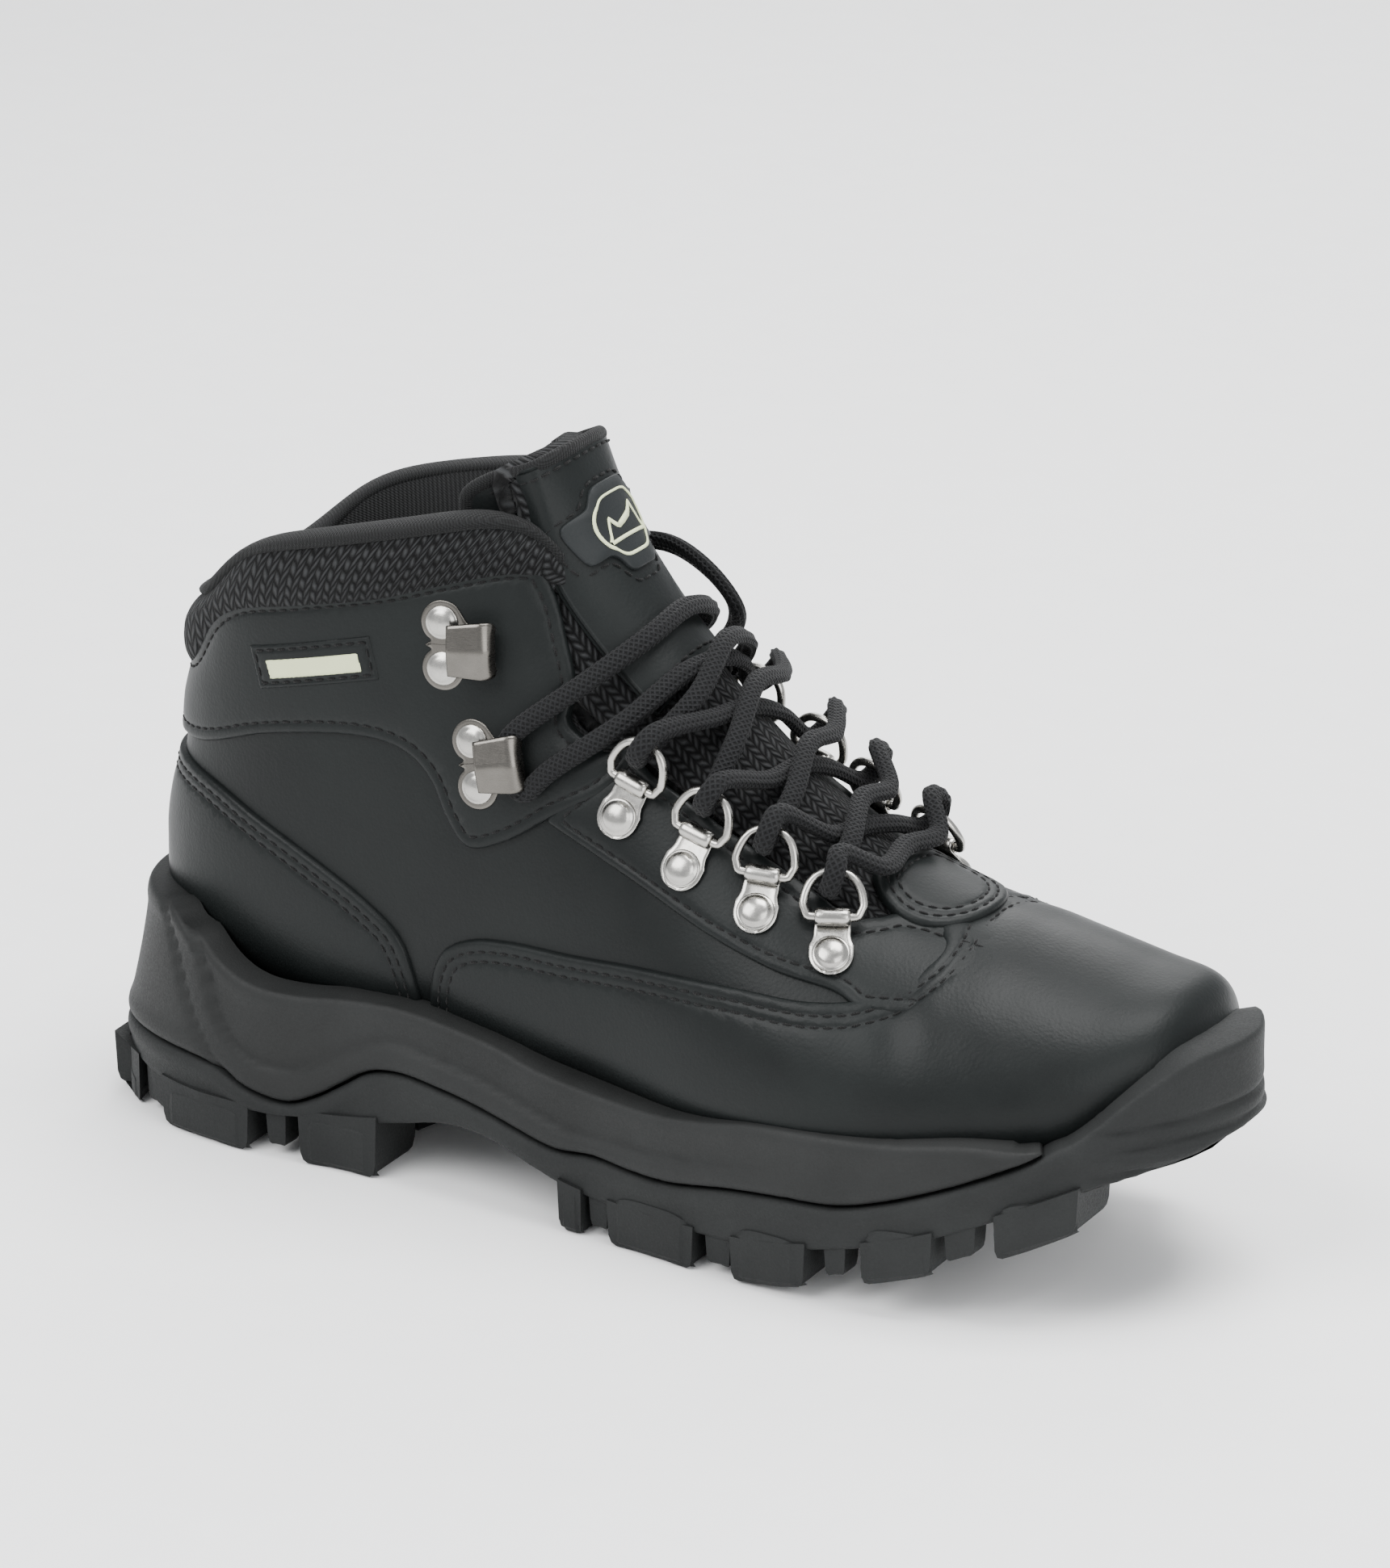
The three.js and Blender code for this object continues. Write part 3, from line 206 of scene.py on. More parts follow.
def textile(name, dark, light, pitch=0.9, depth=0.35, attribute=None):
    """A fine plain weave, with painted shade in the low places between its threads."""
    s = Shader(name, 0.85, Sheen_Weight=0.04, Specular_IOR_Level=0.2)
    where = s.place((1, 1, 1) if attribute else (1000, 1000, 1000), attribute)
    axes = s.node("SeparateXYZ", {0: where})
    turn = 2 * math.pi / pitch
    warp = s.math("SINE", s.math("MULTIPLY", s.math("ADD", axes.outputs[0], axes.outputs[2]), turn))
    weft = s.math("SINE", s.math("MULTIPLY", s.math("SUBTRACT", axes.outputs[1], axes.outputs[2]), turn))
    cross = s.math("MULTIPLY", warp, weft)
    fuzz = s.noise(where, 2.2, 3, 0.7)
    level = s.math("MULTIPLY_ADD", fuzz, 0.5, s.math("MULTIPLY", cross, 0.5))
    s.wire("Normal", s.bump(level, 0.8, depth))
    # Colour follows the weave's height: painted shade between the threads, partly random fuzz tone.
    s.wire("Base Color", s.mix(s.spread(level, -0.2, 0.7, 0, 1), dark, light))
    return s.material


def braid(name, dark, light):
    """A braided lace: slanted strands either way, from the stored way along and round it, with painted shade
    in the grooves between strands.
    """
    s = Shader(name, 0.7, Sheen_Weight=0.03, Specular_IOR_Level=0.14)
    where = s.place((1, 1, 1), "weave")
    axes = s.node("SeparateXYZ", {0: where})
    along, around = axes.outputs[0], axes.outputs[1]
    one = s.math("SINE", s.math("MULTIPLY_ADD", around, 9.0, s.math("MULTIPLY", along, 4.2)))
    two = s.math("SINE", s.math("MULTIPLY_ADD", around, 9.0, s.math("MULTIPLY", along, -4.2)))
    level = s.math("MAXIMUM", one, two)
    fuzz = s.noise(where, 5.0, 3, 0.7)
    height = s.math("MULTIPLY_ADD", fuzz, 0.5, level)
    s.wire("Normal", s.bump(height, 0.7, 0.28))
    # Colour follows the strands' height: painted shade in the grooves between strands, partly random fuzz
    # tone.
    s.wire("Base Color", s.mix(s.spread(height, -0.2, 1.3, 0, 1), dark, light))
    return s.material


LEATHER = leather("leather", (0.0044, 0.0053, 0.0053), (0.0072, 0.0087, 0.0085))
QUARTER_LEATHER = leather("quarter_leather", (0.004, 0.0048, 0.0048), (0.0066, 0.0079, 0.0077))
# In the thread, knit, binding, cloth and lace colours below, the first, darker colour is painted shade in the
# low parts of the weave, mixed with random yarn tone.
THREAD = textile("thread", (0.0015, 0.0015, 0.0015), (0.006, 0.006, 0.006), 0.7, 0.2)
MIDSOLE_RUBBER = rubber("midsole_rubber", (0.0105, 0.011, 0.0108), (0.0155, 0.0162, 0.016), 0.58, 0.3)
OUTSOLE_RUBBER = rubber("outsole_rubber", (0.0095, 0.0102, 0.0102), (0.0145, 0.0155, 0.0153), 0.64, 0.5)
NICKEL = metal("nickel", (0.42, 0.41, 0.385), 0.24, False)
GUNMETAL = metal("gunmetal", (0.135, 0.127, 0.115), 0.27, True)
STEEL = metal("steel", (0.6, 0.6, 0.6), 0.35, True)
COLLAR_KNIT = knit("collar_knit", (0.0006, 0.0006, 0.0007), (0.026, 0.027, 0.028))
TONGUE_KNIT = knit("tongue_knit", (0.0006, 0.0006, 0.0007), (0.026, 0.027, 0.028), 2.4, 1.1)
BINDING = textile("binding", (0.0015, 0.0015, 0.0015), (0.0075, 0.008, 0.0082), 1.0, 0.4)
LINING_CLOTH = textile("lining_cloth", (0.003, 0.003, 0.003), (0.02, 0.0205, 0.021), 1.3, 0.5)
FOOTBED_CLOTH = textile("footbed_cloth", (0.006, 0.006, 0.0065), (0.018, 0.018, 0.019), 1.1, 0.3)
BOARD = rubber("board", (0.2, 0.16, 0.11), (0.28, 0.23, 0.16), 0.85)
STIFFENER = rubber("stiffener", (0.2, 0.19, 0.17), (0.28, 0.27, 0.24), 0.7)
LACE_BRAID = braid("lace_braid", (0.0012, 0.0012, 0.0014), (0.0085, 0.0088, 0.0095))
AGLET_PLASTIC = rubber("aglet_plastic", (0.003, 0.003, 0.003), (0.006, 0.006, 0.006), 0.25, 0.04)
BADGE_RUBBER = rubber("badge_rubber", (0.009, 0.0105, 0.011), (0.0135, 0.0155, 0.016), 0.5, 0.15)
PALE_PRINT = rubber("pale_print", (0.5, 0.55, 0.33), (0.62, 0.66, 0.43), 0.7, 0.2)


# ------------------------------------------------------------------ drawing data
# Sections of the upper: low x, z and high x, z, lateral and medial half widths, middle y,
# height share of the widest place, roundness below it and above it.
SECTIONS = np.array([
    [294, 52, 294, 58, 1, 1, 7, 0.5, 2, 2],
    [290, 44, 291, 67, 17, 14, 7, 0.45, 2.4, 2.2],
    [282, 40, 285, 74, 29, 24, 7, 0.42, 2.6, 2.3],
    [266, 35, 269, 77.5, 41, 35.5, 5.5, 0.38, 2.6, 2],
    [241, 30, 243, 84, 49, 43, 3, 0.34, 2.8, 1.95],
    [210, 27, 215, 92, 52, 46, 1, 0.32, 3, 1.9],
    [178, 27, 190, 107, 49, 43, 0, 0.32, 3, 1.9],
    [140, 29, 167, 127, 42, 38, 0, 0.34, 3, 2],
    [95, 31, 148, 145, 37, 36, 0, 0.38, 3, 2.2],
    [46, 34, 137, 159, 35, 35, 0, 0.42, 2.9, 2.3],
    [11, 46, 131, 168, 34, 34, 0, 0.46, 2.5, 2.4],
    [4, 68, 127, 176, 33, 33, 0, 0.5, 2.2, 2.4],
    [8, 95, 124, 182, 33, 33, 0, 0.5, 2.1, 2.4],
    [13, 120, 121, 188, 34, 34, 0, 0.5, 2.1, 2.4],
    [18, 145, 118, 194, 35, 35, 0, 0.5, 2.1, 2.4],
    [23, 170, 115, 200, 36, 36, 0, 0.5, 2.1, 2.4],
])
LAST = len(SECTIONS) - 1

# Lines on the upper, seen from the side as x, z.
COLLAR_SEAM = [(-20, 117), (8, 118), (20, 122), (30, 135), (40, 142), (60, 147.5), (82, 152.5),
               (100, 158), (114, 161.5), (121, 161.5)]
ANKLE_FRONT = [(121, 161.5), (125, 155), (129, 145), (133, 134), (132.5, 126), (137, 122.5)]
ANKLE_TAB = [(137, 122.5), (144, 123.5), (150.5, 122), (150, 117.5), (143, 110)]
ANKLE_FOOT = [(143, 110), (131, 103), (119, 95), (108, 91.5), (102, 98), (97, 107), (90, 112.5),
              (79, 114.5), (50, 110), (22, 101), (-20, 99)]
THROAT = [(150.5, 122), (152, 118.6), (165, 111), (182, 102), (199, 93), (209, 88.3), (216.5, 88.3)]
EYESTAY_FOOT = [(129, 102), (150, 94), (176, 84), (196, 78), (212, 75), (218, 72)]
VAMP_EDGE = [(94, 20), (94.5, 42), (97, 55), (101, 63), (108, 67), (118, 69), (138, 70), (162, 72),
             (186, 73), (207, 72.5), (218, 74), (227, 78), (231, 82.5), (226, 86), (219, 88.6)]
HEEL_EDGE = [(-20, 94.5), (8, 95), (22, 94), (35, 91), (49, 85.5), (66, 77.5), (78, 71), (87, 64),
             (90.5, 56), (92, 43), (92, 20)]
COLLAR_TOP = [(128, 158), (127, 163), (122, 169.5), (113, 174), (97, 171.5), (68, 165), (44, 158),
              (35, 150), (27, 142.5), (13, 136), (-20, 134)]
VAMP_THROAT_X = 216.5

# The sole from above, x, y, and its lines from the side, x, z.
SOLE_OUTLINE = [(1, 0), (6, -19), (20, -32), (40, -38), (75, -38), (110, -40), (150, -45),
                (190, -51), (215, -53), (245, -50), (270, -41), (290, -26), (300, -11), (303, 4),
                (297.5, 18.5), (287, 30.5), (270, 41), (245, 47), (215, 46), (190, 43), (150, 37),
                (110, 33), (75, 35), (40, 37), (20, 32), (6, 19)]
SOLE_RIM = [(-20, 60), (10, 60), (20, 59), (30, 54), (39, 48), (48, 45), (60, 44.5), (75, 46),
            (90, 46.5), (105, 45), (118, 43), (130, 40), (148, 38), (167, 37.5), (180, 39),
            (196, 42), (212, 43), (231, 44), (249, 46), (272, 46.5), (278, 50), (284, 56),
            (291, 62), (298, 66.5), (320, 67)]
MIDSOLE_FOOT = [(-20, 22), (24, 22), (36, 20.5), (46, 16.5), (57, 15), (65, 18), (73, 23), (81, 28),
                (90, 29.5), (102, 28), (113, 26), (125, 23), (137, 20.5), (149, 21.5), (160, 20.5),
                (171, 20.5), (189, 23.5), (204, 25), (220, 26), (232, 29), (246, 34), (258, 39),
                (266, 43), (272, 47)]
TREAD_ROOT = [(-20, 14), (0, 12.5), (20, 11), (50, 11), (62, 12), (80, 14), (92, 16.5), (104, 19),
              (118, 18), (130, 14), (142, 11), (160, 9.5), (190, 10), (205, 12), (225, 16),
              (245, 22), (265, 30), (285, 38), (299, 42), (304, 47), (320, 56)]
TREAD_FOOT = [(-20, 1.5), (-4, 0.6), (6, 0), (190, 0), (205, 2), (225, 6.5), (245, 12.5), (265, 20),
              (285, 29), (310, 42)]

LACE_ROUTE = np.array([
    [190, 60, 2], [168, 60, 2], [146, 57, 2], [129, 55, 8], [122, 51, 30], [121, 47.5, 64],
    [125, 45, 97], [134, 41, 120], [144, 35.5, 132], [147.5, 30, 141], [140, 30, 149],
    [126, 33, 153], [112, 31.5, 150.5], [110.5, 31.5, 146.5], [111, 32.5, 137.5], [114, 32, 135],
    [124.5, 30.5, 134], [137.5, 27, 135], [148.5, 15.5, 145], [149.5, 1, 149.5],
    [147.5, -15, 146], [137, -27, 136.5], [121.5, -34.5, 123.5], [119.5, -35.5, 120],
    [121.5, -36.5, 111.5], [124.5, -36.5, 109],
    [131.5, -35, 115.5], [148, -26.5, 128.5], [156, -12, 137.5], [159, 3, 137.5],
    [158.5, 14, 132.5], [153, 28, 121.5], [154.5, 32.5, 122], [157.5, 34, 126], [159, 31, 129],
    [167.5, 17, 130.5], [169, 0.5, 133.5], [172, -15, 124.5], [171, -29.5, 111.5],
    [172.5, -34, 113], [175, -35, 117], [176.5, -31.5, 119.5],
    [180.5, -14, 115], [182, 0.5, 114.5], [183.5, 12.5, 110], [186.5, 24.5, 103.5],
    [188.5, 28, 106], [190, 28, 110.5], [190.5, 23.5, 113],
    [198.5, 14.5, 107], [198, 1, 108.5], [202.5, -13.5, 103], [202.5, -26, 94.5],
    [205, -29, 97], [206, -28, 102], [205, -24, 104],
    [211.5, -13.5, 98], [210, 1.5, 98.5], [212, 14.5, 97.5], [206.5, 21.5, 104],
    [207, 26, 102.5], [206, 26.5, 97.5], [204, 23.5, 95],
    [201, 11.5, 99], [198.5, 1, 101.5], [197, -13, 103.5], [190, -27, 112.5],
    [189.5, -31, 110], [188, -31.5, 105.5], [186, -28, 103.5],
    [187, -14.5, 112], [183.5, 0.5, 120], [183, 15, 118.5], [176.5, 28.5, 120],
    [175, 32, 117], [172.5, 31, 113], [171, 26.5, 111.5],
    [169.5, 12.5, 122], [167.5, 0.5, 127], [165.5, -14.5, 128.5], [159, -32.5, 129],
    [157, -36, 126], [154.5, -34.5, 122], [153.5, -30, 121.5],
    [161.5, -15, 134], [160.5, 1, 143], [158.5, 16.5, 137.5], [148.5, 27, 126],
    [132, 34, 115], [124.5, 36, 109], [121.5, 36.5, 111], [120, 35.5, 120], [116.5, 39, 125.5],
    [101, 46.5, 118], [96, 47, 96], [94, 48, 64], [93, 50.5, 30], [89, 54, 8], [76, 57, 2],
    [54, 58, 2], [32, 57, 2],
], float)


# ------------------------------------------------------------------ curves and the upper's surface
def circle(sides):
    """The cosine and sine of evenly spaced angles."""
    return [(math.cos(2 * math.pi * k / sides), math.sin(2 * math.pi * k / sides)) for k in range(sides)]


def row_lengths(points):
    """Distance along a line of points, at each of them."""
    return np.concatenate([[0], np.cumsum(np.linalg.norm(np.diff(points, axis=0), axis=1))])


def unit(vectors):
    """The same directions with length one."""
    return vectors / np.maximum(np.linalg.norm(vectors, axis=-1, keepdims=True), 1e-9)


def smooth(points, per_span=6, closed=False):
    """A centripetal Catmull-Rom curve through a list of points."""
    points = np.asarray(points, float)
    count = len(points)
    spans = count if closed else count - 1
    out = []
    for i in range(spans):
        b, c = points[i], points[(i + 1) % count]
        a = points[(i - 1) % count] if closed or i > 0 else 2 * b - c
        d = points[(i + 2) % count] if closed or i + 2 < count else 2 * c - b
        k1 = max(np.linalg.norm(b - a), 1e-6) ** 0.5
        k2 = max(np.linalg.norm(c - b), 1e-6) ** 0.5
        k3 = max(np.linalg.norm(d - c), 1e-6) ** 0.5
        m1 = ((b - a) / k1 - (c - a) / (k1 + k2) + (c - b) / k2) * k2
        m2 = ((c - b) / k2 - (d - b) / (k2 + k3) + (d - c) / k3) * k2
        for f in np.linspace(0, 1, per_span, endpoint=False):
            out.append((2 * f ** 3 - 3 * f * f + 1) * b + (f ** 3 - 2 * f * f + f) * m1
                       + (3 * f * f - 2 * f ** 3) * c + (f ** 3 - f * f) * m2)
    if not closed:
        out.append(points[-1])
    return np.array(out)


def even(points, step=None, count=None, closed=False):
    """The same line with evenly spaced points."""
    points = np.asarray(points, float)
    if closed:
        points = np.vstack([points, points[:1]])
    reach = row_lengths(points)
    if count is None:
        count = max(int(round(reach[-1] / step)), 2)
    at = np.linspace(0, reach[-1], count + 1 if closed else count)
    out = np.stack([np.interp(at, reach, points[:, k]) for k in range(points.shape[1])], 1)
    return out[:-1] if closed else out


def section_at(place):
    t = np.clip(np.atleast_1d(place).astype(float), 0, LAST - 1e-9)
    i = t.astype(int)
    f = (t - i)[:, None]
    p1, p2 = SECTIONS[i], SECTIONS[i + 1]
    p0 = np.where(i[:, None] > 0, SECTIONS[np.maximum(i - 1, 0)], 2 * p1 - p2)
    p3 = np.where(i[:, None] + 2 <= LAST, SECTIONS[np.minimum(i + 2, LAST)], 2 * p2 - p1)
    return 0.5 * (2 * p1 + (p2 - p0) * f + (2 * p0 - 5 * p1 + 4 * p2 - p3) * f ** 2
                  + (3 * p1 - p0 - 3 * p2 + p3) * f ** 3)


def surface(place, height, side):
    """Points of the upper's outer surface at sections, height shares and sides."""
    low_x, low_z, high_x, high_z, lateral, medial, middle, widest, lower, upper = section_at(place).T
    below = height < widest
    reach = np.where(below, (widest - height) / widest, (height - widest) / (1 - widest))
    power = np.where(below, lower, upper)
    share = np.maximum(0, 1 - np.clip(reach, 0, 1) ** power) ** (1 / power)
    half = np.where(np.asarray(side) < 0, lateral, medial)
    return np.stack([low_x + (high_x - low_x) * height, middle + side * half * share,
                     low_z + (high_z - low_z) * height], 1)


def half_loop(place, side, count):
    """Evenly spaced points from a section's low point up one side to its crest."""
    widest = section_at(place)[0, 7]
    lower, upper = section_at(place)[0, 8:10]
    angle = np.linspace(0, math.pi / 2, 60)
    heights = np.concatenate([widest * (1 - np.cos(angle) ** (2 / lower)),
                              (widest + (1 - widest) * np.sin(angle) ** (2 / upper))[1:]])
    heights = np.clip(heights, 0, 1)
    return even(surface(np.full(len(heights), place), heights, side), count=count)


HALF = 64
places = np.linspace(0, LAST, 20 * LAST + 1)
skin_points = []
for place in places:
    lateral_side = half_loop(place, LATERAL, HALF + 1)
    medial_side = half_loop(place, MEDIAL, HALF + 1)
    skin_points.append(np.vstack([lateral_side, medial_side[::-1][1:-1]]))
skin_points = np.array(skin_points)
along_step = np.gradient(skin_points, axis=0)
around_step = np.roll(skin_points, -1, 1) - np.roll(skin_points, 1, 1)
skin_normals = unit(np.cross(around_step, along_step))
outward = skin_points - skin_points.mean(axis=1, keepdims=True)
if (skin_normals * outward).sum() < 0:
    skin_normals = -skin_normals
ROWS, COLUMNS = skin_points.shape[:2]
flat_points = skin_points.reshape(-1, 3)
flat_normals = skin_normals.reshape(-1, 3)
girth = np.linalg.norm(np.roll(skin_points, -1, 1) - skin_points, axis=2)
from_low = np.cumsum(np.hstack([np.zeros((ROWS, 1)), girth[:, :-1]]), axis=1)
from_low = np.where(np.arange(COLUMNS) > HALF, from_low - girth.sum(1, keepdims=True), from_low)
advance = row_lengths(skin_points[:, HALF // 2])
skin_weave = np.stack([np.broadcast_to(advance[:, None], from_low.shape), from_low], 2).reshape(-1, 2)
nearest = KDTree(len(flat_points))
for index, point in enumerate(flat_points):
    nearest.insert(point, index)
nearest.balance()
quads = []
for i in range(ROWS - 1):
    start = i * COLUMNS
    for j in range(COLUMNS):
        k = (j + 1) % COLUMNS
        quads.append((start + j, start + k, start + COLUMNS + k, start + COLUMNS + j))
quads = np.array(quads)


def signed(points, outline):
    """Distance of [x, y] points inside a closed outline, negative outside."""
    points = np.asarray(points, float)
    outline = np.asarray(outline, float)
    best = np.full(len(points), 1e9)
    inside = np.zeros(len(points), bool)
    x, y = points[:, 0], points[:, 1]
    for (ax, ay), (bx, by) in zip(outline, np.roll(outline, -1, 0)):
        dx, dy = bx - ax, by - ay
        length = dx * dx + dy * dy
        if length < 1e-12:
            continue
        f = np.clip(((x - ax) * dx + (y - ay) * dy) / length, 0, 1)
        best = np.minimum(best, (x - ax - f * dx) ** 2 + (y - ay - f * dy) ** 2)
        crosses = (ay > y) != (by > y)
        if dy:
            inside ^= crosses & (x < ax + (y - ay) * dx / dy)
    return np.where(inside, 1, -1) * np.sqrt(best)


def to_line(points, line):
    """Distance of [x, y] points from an open line."""
    points = np.asarray(points, float)
    line = np.asarray(line, float)
    best = np.full(len(points), 1e9)
    for (ax, ay), (bx, by) in zip(line[:-1], line[1:]):
        dx, dy = bx - ax, by - ay
        f = np.clip(((points[:, 0] - ax) * dx + (points[:, 1] - ay) * dy) / max(
            dx * dx + dy * dy, 1e-9), 0, 1)
        best = np.minimum(best, (points[:, 0] - ax - f * dx) ** 2 + (points[:, 1] - ay - f * dy) ** 2)
    return np.sqrt(best)


def height_on(line, x):
    line = np.asarray(line, float)
    return np.interp(x, line[:, 0], line[:, 1])


# ------------------------------------------------------------------ meshes
def loft(rings, sides, start=0, inside_out=False, first=True, last=True, looped=False):
    """Faces that join rings of points, one ring after another, with caps on the two ends."""
    faces = []
    for i in range(rings if looped else rings - 1):
        here, ahead = start + i * sides, start + (i + 1) % rings * sides
        for k in range(sides):
            n = (k + 1) % sides
            faces.append((here + k, here + n, ahead + n, ahead + k))
    if first and not looped:
        faces.append(tuple(start + k for k in reversed(range(sides))))
    if last and not looped:
        faces.append(tuple(start + (rings - 1) * sides + k for k in range(sides)))
    return [face[::-1] for face in faces] if inside_out else faces


def add_mesh(name, points, faces, material, body=BOOT, weave=None, slot=None, replaces=()):
    """A smooth piece from points in mm that rides on a body."""
    mesh = bpy.data.meshes.new(name)
    mesh.from_pydata(metres(points).tolist(), [], [list(map(int, face)) for face in faces])
    mesh.validate()
    mesh.polygons.foreach_set("use_smooth", [True] * len(mesh.polygons))
    if weave is not None:
        stored = mesh.attributes.new("weave", "FLOAT_VECTOR", "POINT")
        flat = np.zeros((len(points), 3), np.float32)
        flat[:, :2] = weave
        stored.data.foreach_set("vector", flat.ravel())
    mesh.update()
    made = bpy.data.objects.new(name, mesh)
    bpy.context.scene.collection.objects.link(made)
    made.data.materials.append(material)
    if replaces:
        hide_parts(*replaces)
    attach(made, body)
    return made


class Sheet:
    """A patch of surface that can be cut along level lines of a distance field.

    Each row is a point, its normal, its weave coordinates and the field.
    """
    SNAP = 0.1

    def __init__(self, points, normals, weave, field, faces):
        keep = (field[faces] > 0).any(axis=1)
        used, inverse = np.unique(faces[keep], return_inverse=True)
        self.rows = list(np.hstack([points, normals, weave, field[:, None]])[used])
        self.faces = [list(face) for face in inverse.reshape(-1, faces.shape[1])]

    def cut(self, level, keep_low=True):
        value = [row[8] - level for row in self.rows]
        for i, v in enumerate(value):
            if abs(v) < self.SNAP:
                value[i] = 0.0
                self.rows[i] = self.rows[i].copy()
                self.rows[i][8] = level
        made = {}
        faces = []
        for face in self.faces:
            values = [value[i] for i in face]
            if min(values) >= 0:
                faces.append(face)
                continue
            if max(values) <= 0:
                if keep_low:
                    faces.append(face)
                continue
            high, low = [], []
            for k, i in enumerate(face):
                j = face[(k + 1) % len(face)]
                if value[i] >= 0:
                    high.append(i)
                if value[i] <= 0:
                    low.append(i)
                if value[i] * value[j] < 0:
                    key = (min(i, j), max(i, j))
                    if key not in made:
                        f = value[i] / (value[i] - value[j])
                        row = self.rows[i] + (self.rows[j] - self.rows[i]) * f
                        row[8] = level
                        self.rows.append(row)
                        value.append(0.0)
                        made[key] = len(self.rows) - 1
                    high.append(made[key])
                    low.append(made[key])
            if len(high) > 2:
                faces.append(high)
            if keep_low and len(low) > 2:
                faces.append(low)
        self.faces = faces

    def edges_at(self, level, border=False):
        """Edges along a level line, or only those on the patch's border."""
        seen = {}
        for face in self.faces:
            for k, i in enumerate(face):
                j = face[(k + 1) % len(face)]
                if abs(self.rows[i][8] - level) < 1e-6 and abs(self.rows[j][8] - level) < 1e-6:
                    key = (min(i, j), max(i, j))
                    seen.setdefault(key, []).append((i, j))
        return [uses[0] for uses in seen.values() if not border or len(uses) == 1]

    def table(self):
        rows = np.array(self.rows)
        return rows[:, :3], rows[:, 3:6], rows[:, 6:8], rows[:, 8]


def chains(edges):
    """Joins edges into lines of point numbers."""
    links = {}
    for i, j in edges:
        links.setdefault(i, set()).add(j)
        links.setdefault(j, set()).add(i)
    out = []
    starts = [i for i in links if len(links[i]) == 1] + list(links)
    for start in starts:
        while links.get(start):
            line = [start]
            while links.get(line[-1]):
                step = links[line[-1]].pop()
                links[step].discard(line[-1])
                line.append(step)
            out.append(line)
    return out


STITCH_LENGTH, STITCH_GAP, STITCH_RADIUS = 2.7, 0.75, 0.36
# Shares of a stitch's length, with its thickness and its rise there.
STITCH_PROFILE = [(-0.5, 0.25, -0.5), (-0.36, 0.85, -0.05), (0, 1, 0.12), (0.36, 0.85, -0.05),
                  (0.5, 0.25, -0.5)]


def stitches(name, lines, lift=0.1):
    """Sewing thread along lines of (points, normals): short rounded stitches set in a row."""
    points, faces = [], []
    sides = 6
    profile = STITCH_PROFILE
    pitch = STITCH_LENGTH + STITCH_GAP
    for line, normals in lines:
        if len(line) < 2:
            continue
        both = even(np.hstack([line, normals]), step=0.5)
        reach = row_lengths(both[:, :3])
        for centre in np.arange(pitch * 0.6, reach[-1] - pitch * 0.5, pitch):
            def at(distance):
                return np.array([np.interp(distance, reach, both[:, k]) for k in range(6)])
            middle, back, ahead = at(centre), at(centre - 1), at(centre + 1)
            direction = ahead[:3] - back[:3]
            direction /= max(np.linalg.norm(direction), 1e-9)
            out = middle[3:] / max(np.linalg.norm(middle[3:]), 1e-9)
            side = np.cross(direction, out)
            start = len(points)
            for step, width, rise in profile:
                spot = at(centre + step * STITCH_LENGTH)[:3] + out * (lift + rise * STITCH_RADIUS * 1.6)
                points += [spot + STITCH_RADIUS * width * (side * c + out * s) for c, s in circle(sides)]
            faces += loft(len(profile), sides, start)
    return add_mesh(name, points, faces, THREAD, slot="lace_fabric") if points else None


def rolled(distance, radius=1.3, drop=0.8):
    """How far a panel's surface dips towards its cut edge."""
    f = np.clip(distance / radius, 0, 1)
    return -drop * (1 - np.sqrt(np.maximum(0, 1 - (1 - f) ** 2)))


def panel(name, field, material, rows=(2.6,), top=0.0, skirt=2.2, puff=0.35, shape=None,
          replaces=(), weave=False, source=None):
    """A piece of leather on the upper: rolled cut edges, stitched grooves and a little fill."""
    points, normals, mesh_weave, faces = source or (flat_points, flat_normals, skin_weave, quads)
    sheet = Sheet(points, normals, mesh_weave, field, faces)
    sheet.cut(0.0, keep_low=False)
    levels = [0.5, 1.3] + [row + off for row in rows for off in (-0.6, 0, 0.6)]
    for level in sorted(levels):
        sheet.cut(level)
    co, normal, thread, distance = sheet.table()
    height = top + rolled(distance)
    for row in rows:
        height = height - 0.32 * np.exp(-((distance - row) / 0.45) ** 2)
    deepest = max(rows) if rows else 0
    height = height + puff * (1 - np.exp(-np.maximum(distance - deepest, 0) / 5))
    if shape is not None:
        height = height + shape(co)
    surface_points = co + normal * height[:, None]
    border = sheet.edges_at(0.0, border=True)
    rim = sorted({i for edge in border for i in edge})
    number = {i: len(co) + k for k, i in enumerate(rim)}
    lower = surface_points[rim] - normal[rim] * skirt
    all_points = np.vstack([surface_points, lower]) if rim else surface_points
    faces_out = sheet.faces + [(j, i, number[i], number[j]) for i, j in border]
    all_thread = np.vstack([thread, thread[rim]]) if rim else thread
    made = add_mesh(name, all_points, faces_out, material, weave=all_thread if weave else None,
                    slot="leather" if material in (LEATHER, QUARTER_LEATHER) else None, replaces=replaces)
    lines = []
    for row in rows:
        for chain in chains(sheet.edges_at(row)):
            if len(chain) > 4:
                lines.append((surface_points[chain], normal[chain]))
    if lines:
        stitches(name + "_stitching", lines)
    return made


